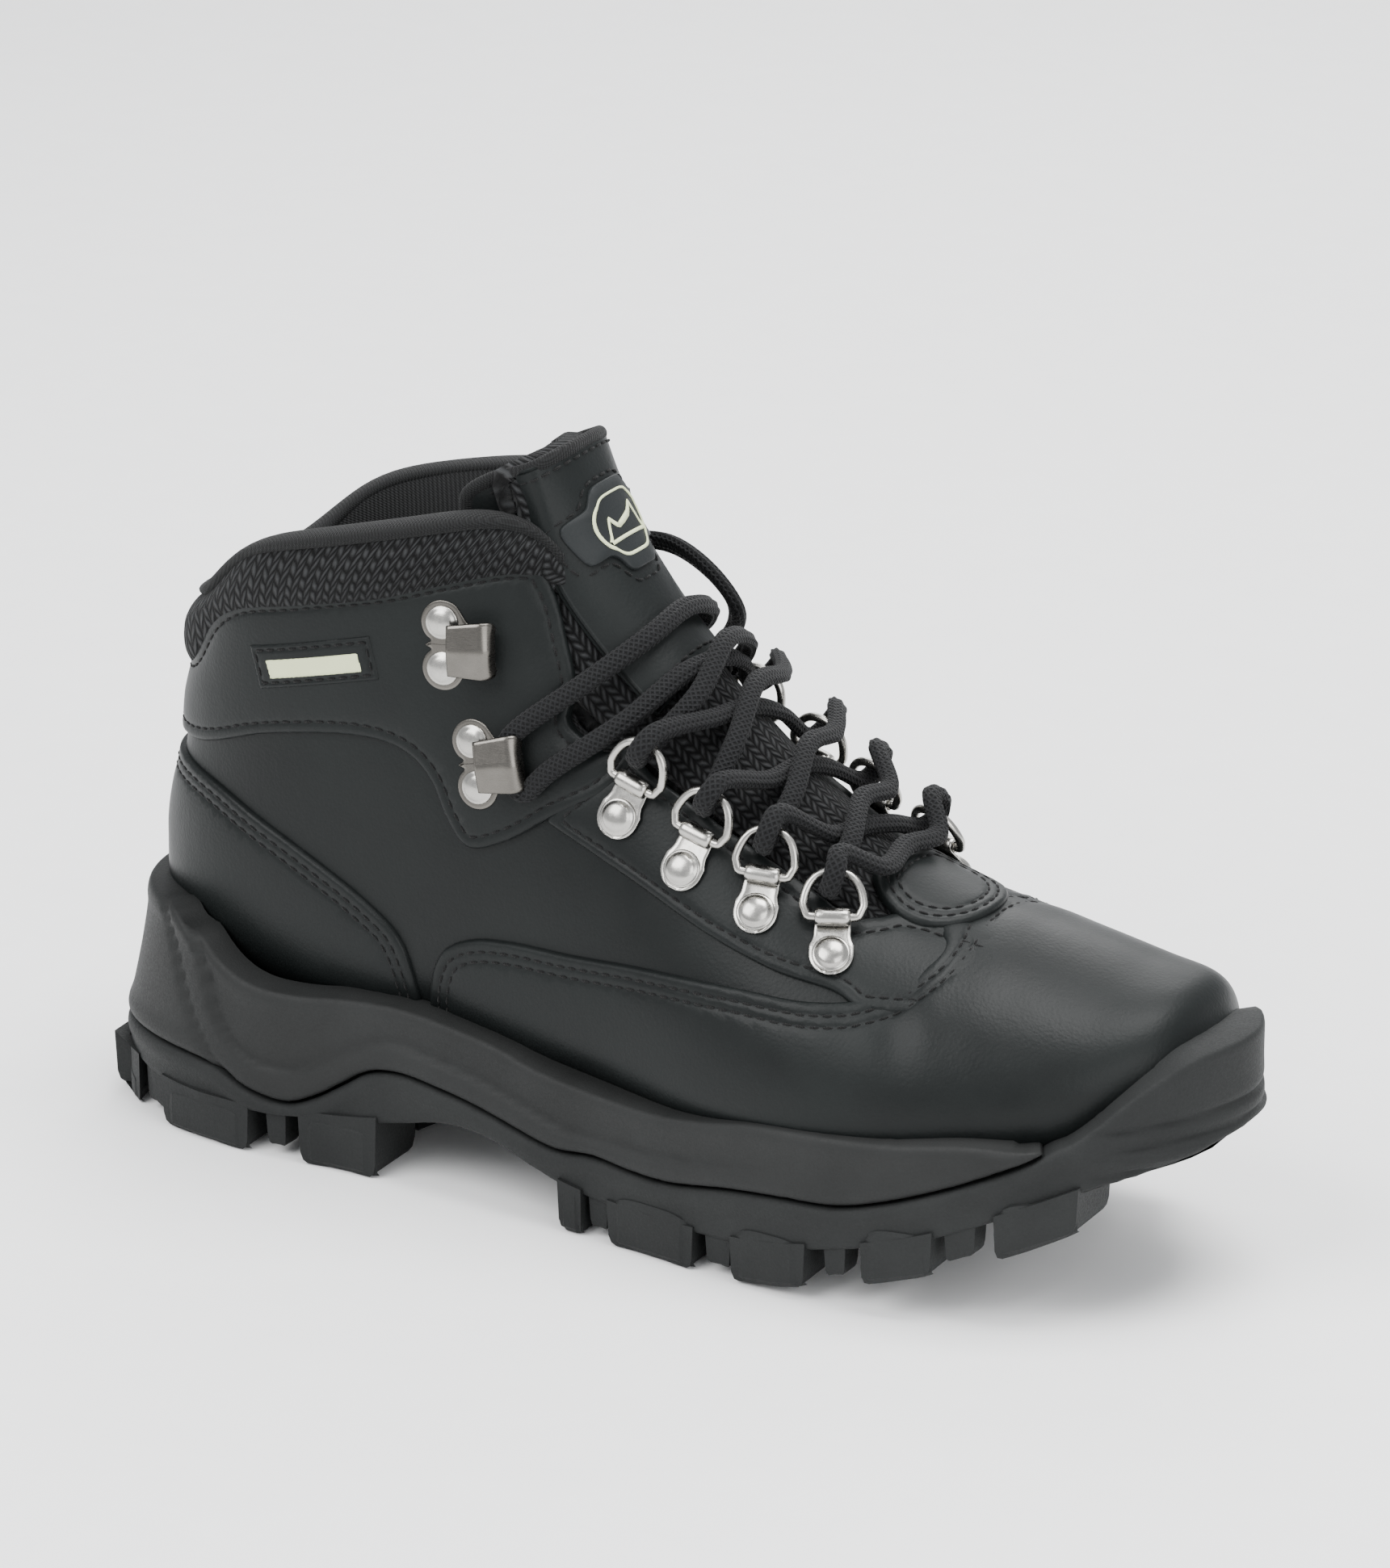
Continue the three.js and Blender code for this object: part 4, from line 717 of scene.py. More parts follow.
# ------------------------------------------------------------------ the lace
def lace_frames(path):
    """Directions along, across the width of and out of a lace that lies flat on the boot."""
    along = unit(np.gradient(path, axis=0))
    wide = []
    last = None
    for point, direction in zip(path, along):
        if point[2] < 16:
            normal = np.array([0, 0, 1.0])
            want = np.cross(normal, direction)
        elif point[0] > 150 and point[2] > 92:
            want = np.array([-0.78, 0, 0.62])
        else:
            _, index, _ = nearest.find(point)
            normal = flat_normals[index]
            want = np.cross(normal, direction)
        want = want - direction * want.dot(direction)
        if last is not None and want.dot(last) < 0:
            want = -want
        want /= max(np.linalg.norm(want), 1e-6)
        wide.append(want)
        last = want
    wide = np.array(wide)
    for _ in range(14):
        padded_rows = np.vstack([wide[:1], wide, wide[-1:]])
        wide = padded_rows[:-2] + padded_rows[1:-1] * 2 + padded_rows[2:]
        wide -= along * (wide * along).sum(1, keepdims=True)
        wide = unit(wide)
    return along, wide, np.cross(along, wide)


LACE_WIDTH, LACE_THICKNESS = 4.9, 3.3
LACE_SIDES, LACE_RIBS, LACE_RIB_HEIGHT = 32, 8, 0.17
LACE_END_SHARE = 0.72


def make_lace():
    path = even(smooth(LACE_ROUTE, 8), step=0.9)
    path[:, 2] = np.maximum(path[:, 2], LACE_WIDTH / 2)
    _, wide, out = lace_frames(path)
    reach = row_lengths(path)
    angles = 2 * math.pi * np.arange(LACE_SIDES) / LACE_SIDES
    ribs = LACE_RIB_HEIGHT * np.cos(angles * LACE_RIBS)
    across = np.sign(np.cos(angles)) * np.abs(np.cos(angles)) ** 0.9 * (LACE_WIDTH / 2 + ribs)
    rise = np.sin(angles) * (LACE_THICKNESS / 2 + ribs)
    points, weave = [], []
    for i, centre in enumerate(path):
        taper = LACE_END_SHARE if i in (0, len(path) - 1) else 1.0
        points.extend(centre + taper * (np.outer(across, wide[i]) + np.outer(rise, out[i])))
        weave.extend((reach[i], angle) for angle in angles)
    lace = add_mesh("shoe_lace", points, loft(len(path), LACE_SIDES), LACE_BRAID,
                    weave=np.array(weave), slot="lace_fabric", replaces=("lace",))
    for name, end, before in (("aglet_front", path[0], path[1]), ("aglet_back", path[-1], path[-2])):
        direction = (end - before) / np.linalg.norm(end - before)
        make_aglet(name, end, direction)
    tuple(metres(path[0]))
    metres(path).tolist()


def make_aglet(name, end, direction):
    """A moulded tip, a little waisted, over the lace's end."""
    profile = [(-2.5, 0.0), (-2.5, 1.72), (-1.5, 1.8), (0, 1.66), (8, 1.58), (19, 1.6), (21.2, 1.5),
               (22, 1.0), (22.2, 0.0)]
    side = np.cross(direction, [0, 0, 1.0])
    up = np.cross(side, direction)
    return lathe(name + "_tip", profile, end, side, up, direction, AGLET_PLASTIC, slot="aglet_plastic",
                 replaces=(name,))


def lathe(name, profile, origin, side, up, axis, material, sides=24, **options):
    """A turned piece: a profile of (height, radius) about an axis."""
    points = [origin + axis * height + radius * (side * c + up * s)
              for height, radius in profile for c, s in circle(sides)]
    faces = loft(len(profile), sides, first=False, last=False)
    return add_mesh(name, points, faces, material, **options)


make_lace()


# ------------------------------------------------------------------ leather panels
side_view = flat_points[:, [0, 2]]
half_way = from_low.reshape(-1)


def field_of(outline, side=None):
    distance = signed(side_view, outline)
    if side is None:
        return distance
    return np.minimum(distance, half_way * (1 if side == LATERAL else -1))


ankle_outline = np.vstack([smooth(COLLAR_SEAM), smooth(ANKLE_FRONT)[1:], smooth(ANKLE_TAB)[1:],
                           smooth(ANKLE_FOOT)[1:]])
vamp_outline = np.vstack([smooth(VAMP_EDGE), [(VAMP_THROAT_X, 90), (VAMP_THROAT_X, 130), (340, 130), (340, 0),
                                              (94, 0)]])
heel_outline = np.vstack([smooth(HEEL_EDGE), [(92, 0), (-20, 0)]])
eyestay_outline = np.vstack([smooth(EYESTAY_FOOT), [(245, 72), (245, 84), (219, 89)],
                             smooth(THROAT)[::-1][1:], [(140, 112)]])
upper_outline = np.vstack([[(-20, 10), (340, 10), (340, 130), (VAMP_THROAT_X, 130)], smooth(THROAT)[::-1],
                           [(144, 123.5)], smooth(ANKLE_FRONT)[::-1], smooth(COLLAR_SEAM)[::-1][1:]])
LAYER = 2.1


def flex_creases(co):
    """Shallow wear creases where the forefoot bends."""
    x, y, z = co.T
    fade = np.exp(-((x - 226) / 16) ** 2) * np.clip((z - 52) / 14, 0, 1)
    return fade * (0.22 * np.sin((x + 0.45 * z + 1.5 * np.sin(y / 9)) / 2.1)
                   + 0.3 * np.sin((x + 0.6 * z - 0.25 * np.abs(y)) / 5.3))


def make_upper():
    for side, name in ((LATERAL, "lateral"), (MEDIAL, "medial")):
        panel("quarter_leather_" + name, field_of(upper_outline, side), QUARTER_LEATHER, rows=(),
              top=-LAYER, puff=0.6, replaces=("quarter_" + name,))
        panel("eyestay_leather_" + name, field_of(eyestay_outline, side), LEATHER, rows=(2.5,),
              puff=0.3, replaces=("eyestay_" + name,))
        panel("ankle_leather_" + name, field_of(ankle_outline, side), LEATHER, rows=(2.9,),
              puff=0.7, top=0.3, replaces=("ankle_panel_" + name,))
    panel("vamp_leather", field_of(vamp_outline), LEATHER, rows=(2.9, 5.4), puff=0.5,
          shape=flex_creases, replaces=("vamp",))
    panel("heel_leather", field_of(heel_outline), LEATHER, rows=(2.9, 5.4), puff=0.5,
          replaces=("heel_panel",))
    tab = ((flat_points[:, 0] - 219) / 15.5) ** 2 + ((flat_points[:, 1] - 2) / 19) ** 2
    tab_field = np.where(flat_points[:, 2] > 70, (1 - np.sqrt(tab)) * 15.5, -5)
    panel("throat_tab", np.minimum(tab_field, flat_points[:, 0] - 207), LEATHER, rows=(2.4, 4.6),
          top=1.2, skirt=2.0, puff=0.3)


# ------------------------------------------------------------------ patches, lining and footbed
def make_label():
    label = [(45, 132.5), (80, 141), (83, 130), (48, 121.5)]
    window = [(50, 129.9), (77, 136.4), (78.6, 131.4), (51.6, 124.9)]
    lateral_only = np.where(flat_points[:, 1] < 0, 1e3, -1e3)
    fine = refine(np.minimum(signed(side_view, label), lateral_only) > -4)
    for name, outline, material, rows, top, swell, node, thick in (
            ("label_leather", label, LEATHER, (1.5,), 1.5, 0.1, "label_patch", 1.2),
            ("label_print", window, PALE_PRINT, (), 1.9, 0.1, "label_window", 0.8)):
        field = signed(fine[0][:, [0, 2]], outline)
        panel(name, field, material, rows=rows, top=top, skirt=thick, puff=swell, replaces=(node,),
              source=fine)


def refine(chosen, times=4):
    """The upper's surface again as a finer grid over the rows and columns that are chosen."""
    grid = chosen.reshape(ROWS, COLUMNS)
    rows = np.flatnonzero(grid.any(axis=1))
    columns = np.flatnonzero(grid.any(axis=0))
    r0, r1, c0, c1 = rows[0], rows[-1] + 1, columns[0], columns[-1] + 1
    block = np.concatenate([skin_points, skin_normals, skin_weave.reshape(ROWS, COLUMNS, 2)], 2)[r0:r1, c0:c1]

    def stretch(values):
        count = values.shape[0]
        at = np.linspace(0, count - 1, (count - 1) * times + 1)
        i = np.minimum(at.astype(int), count - 2)
        f = (at - i).reshape(-1, 1, 1)
        return values[i] * (1 - f) + values[i + 1] * f

    block = stretch(block)
    block = stretch(block.transpose(1, 0, 2)).transpose(1, 0, 2)
    high, wide = block.shape[:2]
    flat = block.reshape(-1, 8)
    faces = np.array([(i * wide + j, i * wide + j + 1, (i + 1) * wide + j + 1, (i + 1) * wide + j)
                      for i in range(high - 1) for j in range(wide - 1)])
    return flat[:, :3], flat[:, 3:6], flat[:, 6:8], faces


LINING_DEPTH, LINING_THICKNESS = 4.4, 2.2


def make_inside():
    """The sock lining's two faces and the footbed that lies in it."""
    field = signed(side_view, upper_outline) + 1
    sheet = Sheet(flat_points, flat_normals, skin_weave, field, quads)
    sheet.cut(0.0, keep_low=False)
    co, normal, _, _ = sheet.table()
    outer = co - normal * LINING_DEPTH
    inner = co - normal * (LINING_DEPTH + LINING_THICKNESS)
    count = len(co)
    border = sheet.edges_at(0.0, border=True)
    faces = sheet.faces + [[i + count for i in reversed(face)] for face in sheet.faces]
    faces += [(j, i, i + count, j + count) for i, j in border]
    add_mesh("sock_lining", np.vstack([outer, inner]), faces, LINING_CLOTH, slot="lining_fabric",
             replaces=("lining",))
    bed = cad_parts["footbed"]
    bed.data.materials.clear()
    bed.data.materials.append(FOOTBED_CLOTH)
    for node, material in (("shank", STEEL), ("insole_board", BOARD), ("toe_puff", STIFFENER),
                           ("heel_counter", STIFFENER)):
        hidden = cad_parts[node]
        hidden.data.materials.clear()
        hidden.data.materials.append(material)


# ------------------------------------------------------------------ collar
def tidy_chain(points, rounds=6):
    """The same line with its kinks smoothed out and its ends kept."""
    points = np.asarray(points, float)
    for _ in range(rounds):
        middle = (points[:-2] + 2 * points[1:-1] + points[2:]) / 4
        points = np.vstack([points[:1], middle, points[-1:]])
    return points


def tube(name, path, radii_wide, radii_high, wide, out, material, sides=20, **options):
    """A padded roll along a path, with its own half width and half height at each point."""
    points, threads = [], []
    reach = row_lengths(path)
    for i, centre in enumerate(path):
        for k in range(sides):
            angle = 2 * math.pi * k / sides
            points.append(centre + wide[i] * math.cos(angle) * radii_wide[i]
                          + out[i] * math.sin(angle) * radii_high[i])
            threads.append((reach[i], angle * 0.5 * (radii_wide[i] + radii_high[i])))
    return add_mesh(name, points, loft(len(path), sides), material, weave=np.array(threads), **options)


COLLAR_TRIM = 1.6


def make_collar():
    """The padded collar: a knitted pillow outside, a rolled binding on top and a lined inner face."""
    top = np.asarray(smooth(COLLAR_TOP))
    top[:, 1] -= COLLAR_TRIM
    seam = np.asarray(smooth(COLLAR_SEAM))
    seam[:, 1] -= 3.0
    outline = np.vstack([seam, [(127, 154)], top])
    field = signed(side_view, outline)
    sheet = Sheet(flat_points, flat_normals, skin_weave, field, quads)
    sheet.cut(0.0, keep_low=False)
    for level in (1.2, 3.0):
        sheet.cut(level)
    co, normal, weave, distance = sheet.table()
    swell = -0.9 + 4.1 * (1 - np.exp(-distance / 3.0))
    drape = 0.5 * np.sin(weave[:, 1] / 13.0) * np.clip(distance / 6, 0, 1)
    outer = co + normal * (swell + drape)[:, None]
    inner = co - normal * (8.2 + 0.8 * (1 - np.exp(-distance / 4)))[:, None]
    border = sheet.edges_at(0.0, border=True)
    pad = add_mesh("collar_knit_pad", outer, sheet.faces, COLLAR_KNIT, weave=weave, slot="collar_knit",
                   replaces=("collar_pad",))
    inner_faces = [face[::-1] for face in sheet.faces]
    add_mesh("collar_inner_face", inner, inner_faces, LINING_CLOTH, slot="lining_fabric")
    lines = [line for line in chains(border) if len(line) > 20]
    line = max(lines, key=len)
    edge = co[line]
    inward = normal[line]
    on_top = np.array([to_line(edge[:, [0, 2]], top) < 1.0])[0]
    loop_edge, loop_normal = edge[on_top], inward[on_top]
    if line[0] == line[-1]:
        first = int(np.argmax(~on_top)) if (~on_top).any() else 0
        order = np.roll(np.arange(len(line) - 1), -first)
        order = order[on_top[order]]
        loop_edge, loop_normal = edge[order], inward[order]
    both = even(np.hstack([loop_edge, loop_normal]), step=3.0)
    path = tidy_chain(both[:, :3], rounds=10)
    facing = unit(both[:, 3:])
    along = unit(np.gradient(path, axis=0))
    up = unit(np.cross(along, facing))
    if up[:, 2].sum() < 0:
        up = -up
    ends = np.clip(np.minimum(np.arange(len(path)), np.arange(len(path))[::-1]) / 3.0, 0.25, 1)
    centre = path - facing * 3.3 + up * 0.2
    tube("collar_binding", centre, 4.9 * ends, 2.2 * ends, facing, up, BINDING, slot="collar_knit")


# ------------------------------------------------------------------ tongue
def on_instep(place, across):
    """A point on the upper near its crest, at a section and a distance across."""
    side = LATERAL if across < 0 else MEDIAL
    heights = np.linspace(0.45, 1, 120)
    line = surface(np.full(120, float(place)), heights, side)
    y = np.abs(line[:, 1])
    k = np.interp(abs(across), y[::-1], heights[::-1])
    return surface([place], np.array([k]), side)[0]


def instep_patch(from_place, to_place, half_widths, height, count=(90, 41)):
    """A grid over the instep: points, normals and weave, at a height that varies with u and v."""
    rows, columns = count
    along = np.linspace(from_place, to_place, rows)
    across = np.linspace(-1, 1, columns)
    grid = np.zeros((rows, columns, 3))
    for i, place in enumerate(along):
        half = half_widths(i / (rows - 1))
        for j, share in enumerate(across):
            grid[i, j] = on_instep(place, share * half)
    up = unit(np.cross(np.gradient(grid, axis=0), np.gradient(grid, axis=1)))
    if up[:, :, 2].sum() < 0:
        up = -up
    u, v = np.meshgrid(np.linspace(0, 1, rows), across, indexing="ij")
    raised_grid = grid + up * height(u, v)[:, :, None]
    run = row_lengths(grid[:, columns // 2])
    girth_ways = np.cumsum(np.concatenate([np.zeros((rows, 1)), np.linalg.norm(
        np.diff(grid, axis=1), axis=2)], axis=1), axis=1)
    weave = np.stack([np.broadcast_to(run[:, None], u.shape), girth_ways - girth_ways[:, -1:] / 2], 2)
    return raised_grid, up, weave


def shell(name, grid, up, weave, thickness, material, **options):
    """A closed pad from a grid: its upper face, its under face and a rounded rim."""
    rows, columns = grid.shape[:2]
    under = grid - up * thickness
    index = np.arange(rows * columns).reshape(rows, columns)
    total = rows * columns
    faces = [(index[i, j], index[i, j + 1], index[i + 1, j + 1], index[i + 1, j])
             for i in range(rows - 1) for j in range(columns - 1)]
    faces += [tuple(total + k for k in reversed(face)) for face in faces[:]]
    rim = [(i, 0) for i in range(rows)]
    rim += [(rows - 1, j) for j in range(1, columns)]
    rim += [(i, columns - 1) for i in range(rows - 2, -1, -1)]
    rim += [(0, j) for j in range(columns - 2, 0, -1)]
    points = np.vstack([grid.reshape(-1, 3), under.reshape(-1, 3)])
    extra, extra_weave = [], []
    flat_weave = weave.reshape(-1, 2)
    middle = grid.reshape(-1, 3).mean(axis=0)
    rim_points = np.array([grid[c] for c in rim])
    run = np.roll(rim_points, -1, 0) - np.roll(rim_points, 1, 0)
    outward_way = unit(np.cross(run, np.array([up[c] for c in rim])))
    if ((rim_points - middle) * outward_way).sum() < 0:
        outward_way = -outward_way
    for step in (0.25, 0.5, 0.75):
        bulge = math.sin(math.pi * step) * thickness * 0.45
        for k, c in enumerate(rim):
            extra.append(grid[c] - up[c] * thickness * (1 - math.cos(math.pi * step)) / 2
                         + outward_way[k] * bulge)
            extra_weave.append(flat_weave[index[c]] + (0, 2 * step))
    rings = [[index[c] for c in rim]]
    for step in range(3):
        rings.append([2 * total + step * len(rim) + k for k in range(len(rim))])
    rings.append([total + index[c] for c in rim])
    for first, second in zip(rings, rings[1:]):
        for k in range(len(rim)):
            n = (k + 1) % len(rim)
            faces.append((first[n], first[k], second[k], second[n]))
    all_weave = np.vstack([flat_weave, flat_weave, np.array(extra_weave)])
    made = add_mesh(name, np.vstack([points, np.array(extra)]), faces, material, weave=all_weave, **options)
    return made


# The sections where the tongue and its leather cover start and end.
TONGUE_PLACES, COVER_PLACES = (4.75, 12.75), (7.55, 12.9)
TONGUE_THICKNESS, COVER_THICKNESS = 8.0, 1.8


def make_tongue():
    def width(u):
        return 21 + 5.5 * math.sin(math.pi * min(u * 1.2, 1))

    def pillow(u, v):
        quilt = 0.5 * np.cos(v * math.pi * 2.0)
        return -3.0 + 1.6 * (1 - v ** 4) * np.clip(u * 8, 0, 1) + quilt * (1 - v ** 2) - 1.4 * np.exp(
            -((1 - u) / 0.06))

    grid, up, weave = instep_patch(*TONGUE_PLACES, width, pillow)
    pad = shell("tongue_pad", grid, up, weave, TONGUE_THICKNESS, TONGUE_KNIT, slot="collar_knit",
                replaces=("tongue",))

    def spread_out(u):
        share = np.clip((u - 0.4) / 0.45, 0, 1)
        return share * share * (3 - 2 * share)

    def cover_width(u):
        return 19.5 + 8.0 * spread_out(u)

    def cover_height(u, v):
        tuck = np.clip((np.abs(v) * cover_width(u) - 16.5) / 6.5, 0, 1)
        tuck = spread_out(u) * tuck * tuck * (3 - 2 * tuck)
        return 0.2 + 0.9 * (1 - v ** 6) - 0.5 * np.exp(-u / 0.03) - 10.5 * tuck

    grid, up, weave = instep_patch(*COVER_PLACES, cover_width, cover_height, count=(80, 61))
    shell("tongue_leather", grid, up, weave, COVER_THICKNESS, LEATHER, slot="leather",
          replaces=("tongue_cover",))
    last = grid.shape[1] - 1
    foot = [(grid[2, j] + up[2, j] * 0.1, up[2, j]) for j in range(3, last - 2)]
    head = [(grid[-6, j] + up[-6, j] * 0.1, up[-6, j]) for j in range(3, last - 2)]
    stitches("tongue_leather_stitching", [(np.array([p for p, _ in line]), np.array([n for _, n in line]))
                                          for line in (foot, head)])
    top_edge = [(i, 0) for i in range(30, 80)] + [(79, j) for j in range(1, last)]
    knit_edge = [(i, last) for i in range(76, 12, -1)]
    for name, edge, wide_by, high_by, material in (
            ("tongue_binding", top_edge, 1.9, 1.8, BINDING),
            ("tongue_knit_edge", knit_edge, 4.0, 3.0, TONGUE_KNIT)):
        path = np.array([grid[c] - up[c] * 1.2 for c in edge])
        lift = np.array([up[c] for c in edge])
        path = tidy_chain(path, rounds=6)
        along = unit(np.gradient(path, axis=0))
        wide = unit(np.cross(along, lift))
        size = np.full(len(path), 1.0)
        size[:12] = np.sin(np.linspace(0.2, math.pi / 2, 12))
        size[-12:] = np.sin(np.linspace(math.pi / 2, 0.2, 12))
        tube(name, path, wide_by * size, high_by * size, wide, lift, material, slot="collar_knit")
    return grid, up


# ------------------------------------------------------------------ lacing hardware
CLIPS = [((208, 81.5), (0, 1)), ((188, 89), (0.1, 1)), ((168, 96.5), (0.3, 1)), ((149.5, 106), (0.35, 1))]
HOOKS = [("lower", (112, 113.4), (1, 0.22)), ("upper", (101.5, 141.2), (1, 0.08))]
GAP, SHEET_METAL, TO_BAR, BAR_HEIGHT = 0.3, 0.8, 9.0, 2.55
RING_LIFT, RING_RADIUS = math.radians(17), 1.1


def locate(x, z):
    """The section and height share at a side-view point."""
    def off_line(place):
        low_x, low_z, high_x, high_z = section_at(place)[0, :4]
        return (x - low_x) * (high_z - low_z) - (z - low_z) * (high_x - low_x)

    place = 1.0
    while place < LAST and off_line(place) * off_line(place + 0.25) > 0:
        place += 0.25
    low, high = place, place + 0.25
    for _ in range(30):
        middle = (low + high) / 2
        if off_line(low) * off_line(middle) > 0:
            low = middle
        else:
            high = middle
    low_x, low_z, high_x, high_z = section_at(low)[0, :4]
    dx, dz = high_x - low_x, high_z - low_z
    return low, ((x - low_x) * dx + (z - low_z) * dz) / (dx * dx + dz * dz)


def surface_frame(at, toward, side):
    """Origin and axes on the upper: along, the way it points, and straight out."""
    place, height = locate(*at)

    def here(p, h):
        return surface([p], np.array([h]), side)[0]

    origin = here(place, height)
    out = np.cross(here(place, height + 0.02) - here(place, height - 0.02),
                   here(place + 0.02, height) - here(place - 0.02, height))
    out /= np.linalg.norm(out)
    if out[1] * side < 0:
        out = -out
    pointing = np.array([toward[0], 0, toward[1]], float)
    pointing -= out * pointing.dot(out)
    pointing /= np.linalg.norm(pointing)
    return origin, np.cross(pointing, out), pointing, out


def placed(points, axes):
    origin, along, pointing, out = axes
    points = np.asarray(points, float)
    return origin + points[:, :1] * along + points[:, 1:2] * pointing + points[:, 2:] * out


def ribbon(profile, widths, thickness, across=9, dish=None, ends=None):
    """A bent strip of sheet metal: a line in y, z with a width at each point, and rounded edges."""
    profile = np.asarray(profile, float)
    way = unit(np.gradient(profile, axis=0))
    normal = np.stack([-way[:, 1], way[:, 0]], 1)
    shares = np.linspace(-1, 1, across)
    ring_template = [(share, 0.5) for share in shares] + [(1.0, 0.0)] + [
        (share, -0.5) for share in shares[::-1]] + [(-1.0, 0.0)]
    points = []
    for i, (y, z) in enumerate(profile):
        for share, side in ring_template:
            edge = 0.25 * thickness if abs(share) == 1 and side else 0
            x = share * (widths[i] / 2 - edge)
            lift = dish(i / (len(profile) - 1), share) if dish else 0
            pull = ends(i / (len(profile) - 1), share) if ends else 0
            points.append((x, y + normal[i, 0] * (side * thickness + lift) + way[i, 0] * pull,
                           z + normal[i, 1] * (side * thickness + lift) + way[i, 1] * pull))
    return np.array(points), loft(len(profile), len(ring_template), inside_out=True)


def plate(outline, low, high, bevel=0.25):
    """A flat plate from a closed outline, with a softened upper edge."""
    outline = np.asarray(outline, float)
    before, after = np.roll(outline, 1, 0), np.roll(outline, -1, 0)
    way = unit(after - before)
    area = np.cross(outline, after).sum()
    inward_way = np.stack([-way[:, 1], way[:, 0]], 1) * np.sign(area)
    count = len(outline)
    loops = []
    for inset, z in ((0, low), (0, high - bevel), (0.3 * bevel, high - 0.3 * bevel), (bevel, high),
                     (bevel * 3, high)):
        loops.append(np.hstack([outline + inward_way * inset, np.full((count, 1), z)]))
    return np.vstack(loops), loft(len(loops), count)


def dome(radius, rise, base, x=0.0, y=0.0, sides=28):
    """A set rivet's head: a turned-down rim and a smooth crown."""
    profile = [(radius, base - 0.2), (radius, base + 0.25), (radius * 0.97, base + 0.45),
               (radius * 0.9, base + 0.52), (radius * 0.84, base + 0.62)]
    for radius_share, rise_share in ((0.74, 0.55), (0.6, 0.74), (0.4, 0.9), (0.2, 0.98)):
        profile.append((radius * radius_share, base + 0.3 + rise * rise_share))
    profile.append((0.01, base + 0.3 + rise))
    points = np.array([(x + r * c, y + r * s, z) for r, z in profile for c, s in circle(sides)])
    return points, loft(len(profile), sides, first=False, last=False)


def gathered(*shapes):
    points, faces, start = [], [], 0
    for some_points, some_faces in shapes:
        points.append(some_points)
        faces += [tuple(start + k for k in face) for face in some_faces]
        start += len(some_points)
    return np.vstack(points), faces


def clip_shape():
    """A stamped clip: a round-ended plate that narrows and rolls over the ring's bar."""
    lower = []
    for y in np.linspace(-5.3, 6.2, 24):
        lower.append((y, GAP + SHEET_METAL / 2))
    roll = (BAR_HEIGHT - GAP - SHEET_METAL / 2)
    for angle in np.linspace(-90, 200, 26):
        lower.append((TO_BAR + roll * math.cos(math.radians(angle)),
                      BAR_HEIGHT + roll * math.sin(math.radians(angle))))
    widths = []
    for y, _ in lower[:24]:
        if y < 0:
            widths.append(2 * math.sqrt(max(5.45 ** 2 - y * y, 0.4)))
        else:
            widths.append(10.9 - 1.9 * np.clip((y - 2.2) / 2.4, 0, 1) ** 0.7)
    widths += [8.6] * 26

    def pressed(f, share):
        return 0.28 * abs(share) ** 6

    return ribbon(lower, widths, SHEET_METAL, dish=pressed)


def ring_shape():
    """A D-ring of round wire: a straight bar and a squared bow."""
    sides = 14
    line = [(x, 0.0) for x in np.linspace(-5.2, 5.2, 10)]
    line += [(6.2, 0.2)]
    for angle in np.linspace(0.06, 0.94, 40) * math.pi:
        c = math.cos(angle)
        line.append((7.4 * math.copysign(abs(c) ** 0.8, c), 11 * math.sin(angle) ** 0.8))
    line += [(-6.2, 0.2)]
    line = even(smooth(even(line, step=0.9, closed=True), 3, closed=True), step=0.55, closed=True)
    way = unit(np.roll(line, -1, 0) - np.roll(line, 1, 0))
    points = []
    for (x, y), (dx, dy) in zip(line, way):
        for c, s in circle(sides):
            r, h = RING_RADIUS * c, RING_RADIUS * s
            px, py = x + dy * r, y - dx * r
            points.append((px, TO_BAR + py * math.cos(RING_LIFT) - h * math.sin(RING_LIFT),
                           BAR_HEIGHT + py * math.sin(RING_LIFT) + h * math.cos(RING_LIFT)))
    return np.array(points), loft(len(line), sides, inside_out=True, looped=True)


RIVET_SPREAD, RIVET_BACK = 5.7, -2.0
HOOK_FRONT, HOOK_CURL = 9.0, 3.0


